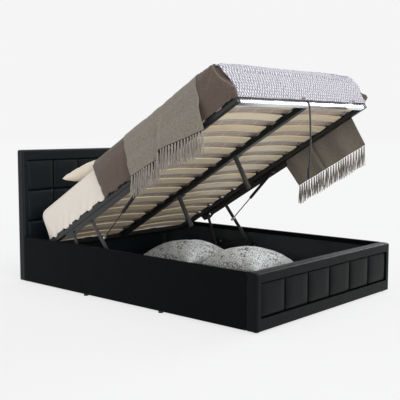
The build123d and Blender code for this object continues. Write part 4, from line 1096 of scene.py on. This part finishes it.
def clear_of_duvet(spot):
    """The point pushed out until it clears the duvet, folded or plain."""
    for surface in (plain_tree, duvet_tree):
        found, facing, _, _ = surface.find_nearest(spot)
        if (spot - found).dot(facing) < CLEAR and (spot - found).length < 0.05:
            spot = found + facing * CLEAR
    return spot


def blanket_point(u, v):
    """The place of a point of the blanket, u across the bed and v up from its low edge."""
    spot, outward = blanket_path(v)
    reach = float(np.interp(spot.z, EDGE[:, 0], EDGE[:, 1])) + 0.004 * ripple(v * 9, 3, 1)
    spot.x = (2 * u - 1) * reach
    if v < 0.1:
        spot.z += 0.003 * (0.5 + ripple(spot.x * 9, 0, 6)) * (1 - v / 0.1)
    settled = onto_duvet(spot, outward, CLEAR, plain_tree)
    if outward.z < 0.05:
        settled.y = min(settled.y, spot.y)
    waves = 0.004 * ripple(spot.x * 4, v * 5, 8) + 0.002 * ripple(spot.x * 13, v * 9, 5)
    return clear_of_duvet(settled + outward * max(waves, -0.001))


blanket = cloth_grid("tweed_blanket", (110, 2 * BLANKET_HALF), (40, blanket_deep), blanket_point, blanket_wool,
                     ["blanket"])
thicken(blanket, 0.005)

# %% [markdown]
# ### Piping
#
# Thin piping follows the duvet's folded edge. Its line is found on the duvet with rays from the
# side and evened out, and a round section is bridged along it.

# %% Piping
PIPING_FROM, PIPING_TO = 0.073, 0.272
STITCHES = 40


def piped_edge(shape, points, radius):
    """A round edge along a line of points."""
    last = len(points) - 1
    rings = []
    for i, point in enumerate(points):
        ahead = (points[min(i + 1, last)] - points[max(i - 1, 0)]).normalized()
        turn = ahead.to_track_quat("Z", "X").to_matrix().to_4x4()
        rings.append(bmesh.ops.create_circle(shape, cap_ends=i in (0, last), segments=8, radius=radius,
                                             matrix=Matrix.Translation(point) @ turn)["verts"])
    for first, second in zip(rings, rings[1:]):
        edges = [e for ring in (first, second) for e in {e for v in ring for e in v.link_edges}
                 if all(v in ring for v in e.verts)]
        bmesh.ops.bridge_loops(shape, edges=edges)


shape = bmesh.new()
for side in (-1, 1):
    line = []
    for step in range(STITCHES + 1):
        n = PIPING_FROM + (PIPING_TO - PIPING_FROM) * step / STITCHES
        s = float(np.interp(n, PIPING[:, 1], PIPING[:, 0])) + 0.003
        found, facing, _, _ = duvet_tree.ray_cast(Vector((side * 0.85, s, n)), Vector((-side, 0, 0)), 0.4)
        if found is None:
            found, facing, _, _ = duvet_tree.find_nearest(Vector((side * 0.70, s, n)))
        line.append(found + facing * 0.0015)
    evened = [sum((line[max(0, min(STITCHES, i + k))] for k in range(-2, 3)), Vector()) / 5
              for i in range(STITCHES + 1)]
    piped_edge(shape, evened, 0.003)
bmesh.ops.recalc_face_normals(shape, faces=shape.faces[:])
piping_cloth = cloth("piping_cotton", (0.15, 0.115, 0.095), (0.25, 0.20, 0.17), 0.0016, 1.0, 0.0004, 0.2)
box_uv(make_piece("duvet_piping", shape, piping_cloth))

# %% [markdown]
# ## Pillows and cushions
#
# A pillow is two flat squares of cloth sewn round the edge and stuffed. So the model is two domed
# layers that meet in a pinched seam, its sides pulled in and its corners pointed, and a short
# cloth simulation rounds it off.

# %% Stuffed squares
def stuffed_shape(width, depth, thickness, seam_shift, fullness, cuts, seed):
    """Two layers joined at a pinched seam and blown up between, with UVs in metres."""
    shape = bmesh.new()
    layer = shape.loops.layers.uv.new("weave")
    rows = int(cuts * depth / width)
    for level in (1, -1):
        made = bmesh.ops.create_grid(shape, x_segments=cuts, y_segments=rows, size=0.5)["verts"]
        faces = {f for v in made for f in v.link_faces}
        for face in faces:
            for loop in face.loops:
                loop[layer].uv = (loop.vert.co.x * width + (1.3 if level < 0 else 0), loop.vert.co.y * depth)
        if level < 0:
            bmesh.ops.reverse_faces(shape, faces=list(faces))
        for vert in made:
            u, v = [math.sin(2 * c * math.pi / 2 * 0.999) for c in vert.co[:2]]
            dome = (max(0.0, 1 - abs(u) ** 2.3) * max(0.0, 1 - abs(v) ** 2.3)) ** fullness
            edge = max(abs(u), abs(v))
            x = u * width / 2 * (1 - 0.055 * (1 - v * v) * abs(u) ** 2)
            y = v * depth / 2 * (1 - 0.055 * (1 - u * u) * abs(v) ** 2)
            around = v if abs(u) > abs(v) else u
            pull = ripple(around * 9 + seed, edge * 1.5, level) * edge ** 3 * min(1, dome * 3)
            slow = ripple(u * 1.6, v * 1.6, seed + level)
            dent = ripple(u * 3.1 + seed, v * 3.1, level * 2.0)
            height = thickness * (0.5 + seam_shift * level) * dome
            z = level * height * (1 + 0.07 * slow) + level * 0.012 * pull - level * 0.010 * max(0.0, dent) * dome
            vert.co = Vector((x, y, z))
    bmesh.ops.remove_doubles(shape, verts=shape.verts, dist=0.0012)
    bmesh.ops.recalc_face_normals(shape, faces=shape.faces[:])
    return shape


def stuffed(name, node, box, cuts, material, body, to_world, turn, seed, seam_shift=0.08, lean=0.0,
            fullness=0.52):
    """A stuffed square in the place of a CAD node, inside this box, leaning and resting on the box's floor."""
    low, high = Vector(box[0]), Vector(box[1])
    size = high - low
    shape = stuffed_shape(*size, seam_shift, fullness, cuts, seed)
    shape.transform(Matrix.Rotation(math.radians(turn), 4, "Z"))
    piece = make_piece(name, shape, material, [node], body, STILL)
    puff(piece, 2.0, 8, 0.004, stretch=10.0)
    points = corners_of(piece)
    middle = (low + high) / 2
    points[:, :2] += np.array(middle)[:2] - (points.min(0) + points.max(0))[:2] / 2
    points[:, 2] = low.z + (points[:, 2] - points[:, 2].min()) / np.ptp(points[:, 2]) * size.z
    sunk = 0.022 if lean else 0.0
    points[:, 2] = np.maximum(points[:, 2] + lean * (points[:, 1] - middle.y) - sunk, low.z)
    put_corners(piece, points)
    modify(piece, "SUBSURF", levels=1, render_levels=1)
    settle(piece)
    piece.data.transform(to_world)


# %% Pillows and cushions
PILLOW_INNER, PILLOW_OUTER = 0.035, 0.655
for side, name, seed in ((-1, "left", 3.0), (1, "right", 8.0)):
    near, far = sorted((side * PILLOW_INNER, side * PILLOW_OUTER))
    stuffed("bed_pillow_" + name, "pillow_" + name, ((near, 1.180, 0.2657), (far, 1.566, 0.402)), 56,
            pillow_cotton, "platform", RAISED, 0, seed, -0.02, 0.2, 0.42)
INSET = 0.008
for name, turn, seed in (("foot", 1.5, 1.0), ("head", -2.0, 5.0)):
    node = "storage_cushion_" + name
    points = corners_of(nodes[node])
    low, high = points.min(0), points.max(0)
    box = ((low[0] + INSET, low[1] + INSET, low[2]), (high[0] - INSET, high[1] - INSET, high[2]))
    stuffed("mosaic_cushion_" + name, node, box, 52, cushion_weave, "bed_box", STILL, turn,
            seed)

# %% [markdown]
# ## Lift strap
#
# A black webbing strap hangs from the foot tube, to pull the platform down. It is thin, so it is
# modelled directly: a flat strip with a sewn loop at its lower end.

# %% Lift strap
STRAP_WIDE = 0.016
STRAP_LONG = 0.372
LOOP_MIDDLE, LOOP_HIGH, LOOP_DEEP = 0.404, 0.034, 0.0045
SEWN_FROM, SEWN_WIDE = 13, 0.019
POINTS = 24


def webbing_strip(shape, centre, width, thick):
    """A flat strip along a line of points in the Y-Z plane, square to it."""
    rows = []
    for i, point in enumerate(centre):
        ahead = centre[min(i + 1, len(centre) - 1)] - centre[max(i - 1, 0)]
        across = Vector((0, -ahead.z, ahead.y)).normalized() * thick / 2
        rows.append([shape.verts.new(point + across * s + Vector((x * width / 2, 0, 0)))
                     for x, s in ((-1, -1), (1, -1), (1, 1), (-1, 1))])
    for pair in zip(rows, rows[1:]):
        edges = [shape.edges.get(ends) or shape.edges.new(ends)
                 for row in pair for ends in zip(row, row[1:] + row[:1])]
        bmesh.ops.bridge_loops(shape, edges=edges)
    for row in (rows[0], rows[-1]):
        shape.faces.new(row)
    bmesh.ops.recalc_face_normals(shape, faces=shape.faces[:])


low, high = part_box("lift_strap")
middle_y = (low.y + high.y) / 2
line, loop = [], []
for i in range(POINTS + 1):
    share = i / POINTS
    bow = STRAP_WIDE * math.sin(math.pi * share)
    line.append(Vector((bow, middle_y + 0.002 * math.sin(share * 5), high.z - share * STRAP_LONG)))
    turn = -math.pi / 2 + 2 * math.pi * i / POINTS
    loop.append(Vector((0, middle_y + LOOP_DEEP * math.cos(turn), high.z - LOOP_MIDDLE + LOOP_HIGH * math.sin(turn))))
shape = bmesh.new()
webbing_strip(shape, line, STRAP_WIDE, 0.0022)
webbing_strip(shape, loop, STRAP_WIDE, 0.0016)
webbing_strip(shape, [point + Vector((0, -0.0021, 0)) for point in line[SEWN_FROM:]], SEWN_WIDE, 0.0018)
box_uv(make_piece("webbing_strap", shape, webbing, ["lift_strap"], "strap", STILL), STILL)
dress(["strap_anchor"], webbing)

# %% [markdown]
# ## Floor
#
# A pale floor under the bed. The photograph's floor is as white as its background, so the camera,
# and metal that mirrors it, see a floor that glows a little under its own shade, and the bed's soft
# shadow stays on it. All other rays see plain pale paint, which throws light back up at the slats.

# %% Floor
SHADE = 0.20
GLOW = 0.718
FLOOR_HALF = 60
floor_paint = start("studio_floor", (0.85, 0.85, 0.85), 0.9, Specular_IOR_Level=0.0)
relief(floor_paint, [(speckle(floor_paint, where(floor_paint), 3.0, 2.0), 0.02, 0.001)])
shade = add(floor_paint, "BsdfDiffuse", {"Color": (SHADE, SHADE, SHADE, 1)})
glow = add(floor_paint, "Emission", {"Strength": GLOW})
seen_floor = add(floor_paint, "AddShader", {0: shade.outputs[0], 1: glow.outputs[0]})
by_ray = {0: seen_directly(floor_paint), 1: shader_of(floor_paint).outputs[0], 2: seen_floor.outputs[0]}
chosen = add(floor_paint, "MixShader", by_ray)
surface = floor_paint.node_tree.nodes["Material Output"].inputs["Surface"]
floor_paint.node_tree.links.new(chosen.outputs[0], surface)
shape = bmesh.new()
bmesh.ops.create_grid(shape, x_segments=1, y_segments=1, size=FLOOR_HALF)
mesh = bpy.data.meshes.new("floor")
shape.to_mesh(mesh)
shape.free()
floor = put_in_scene("floor", mesh)
floor.data.materials.append(floor_paint)
print("a pale floor", 2 * FLOOR_HALF, "m across")
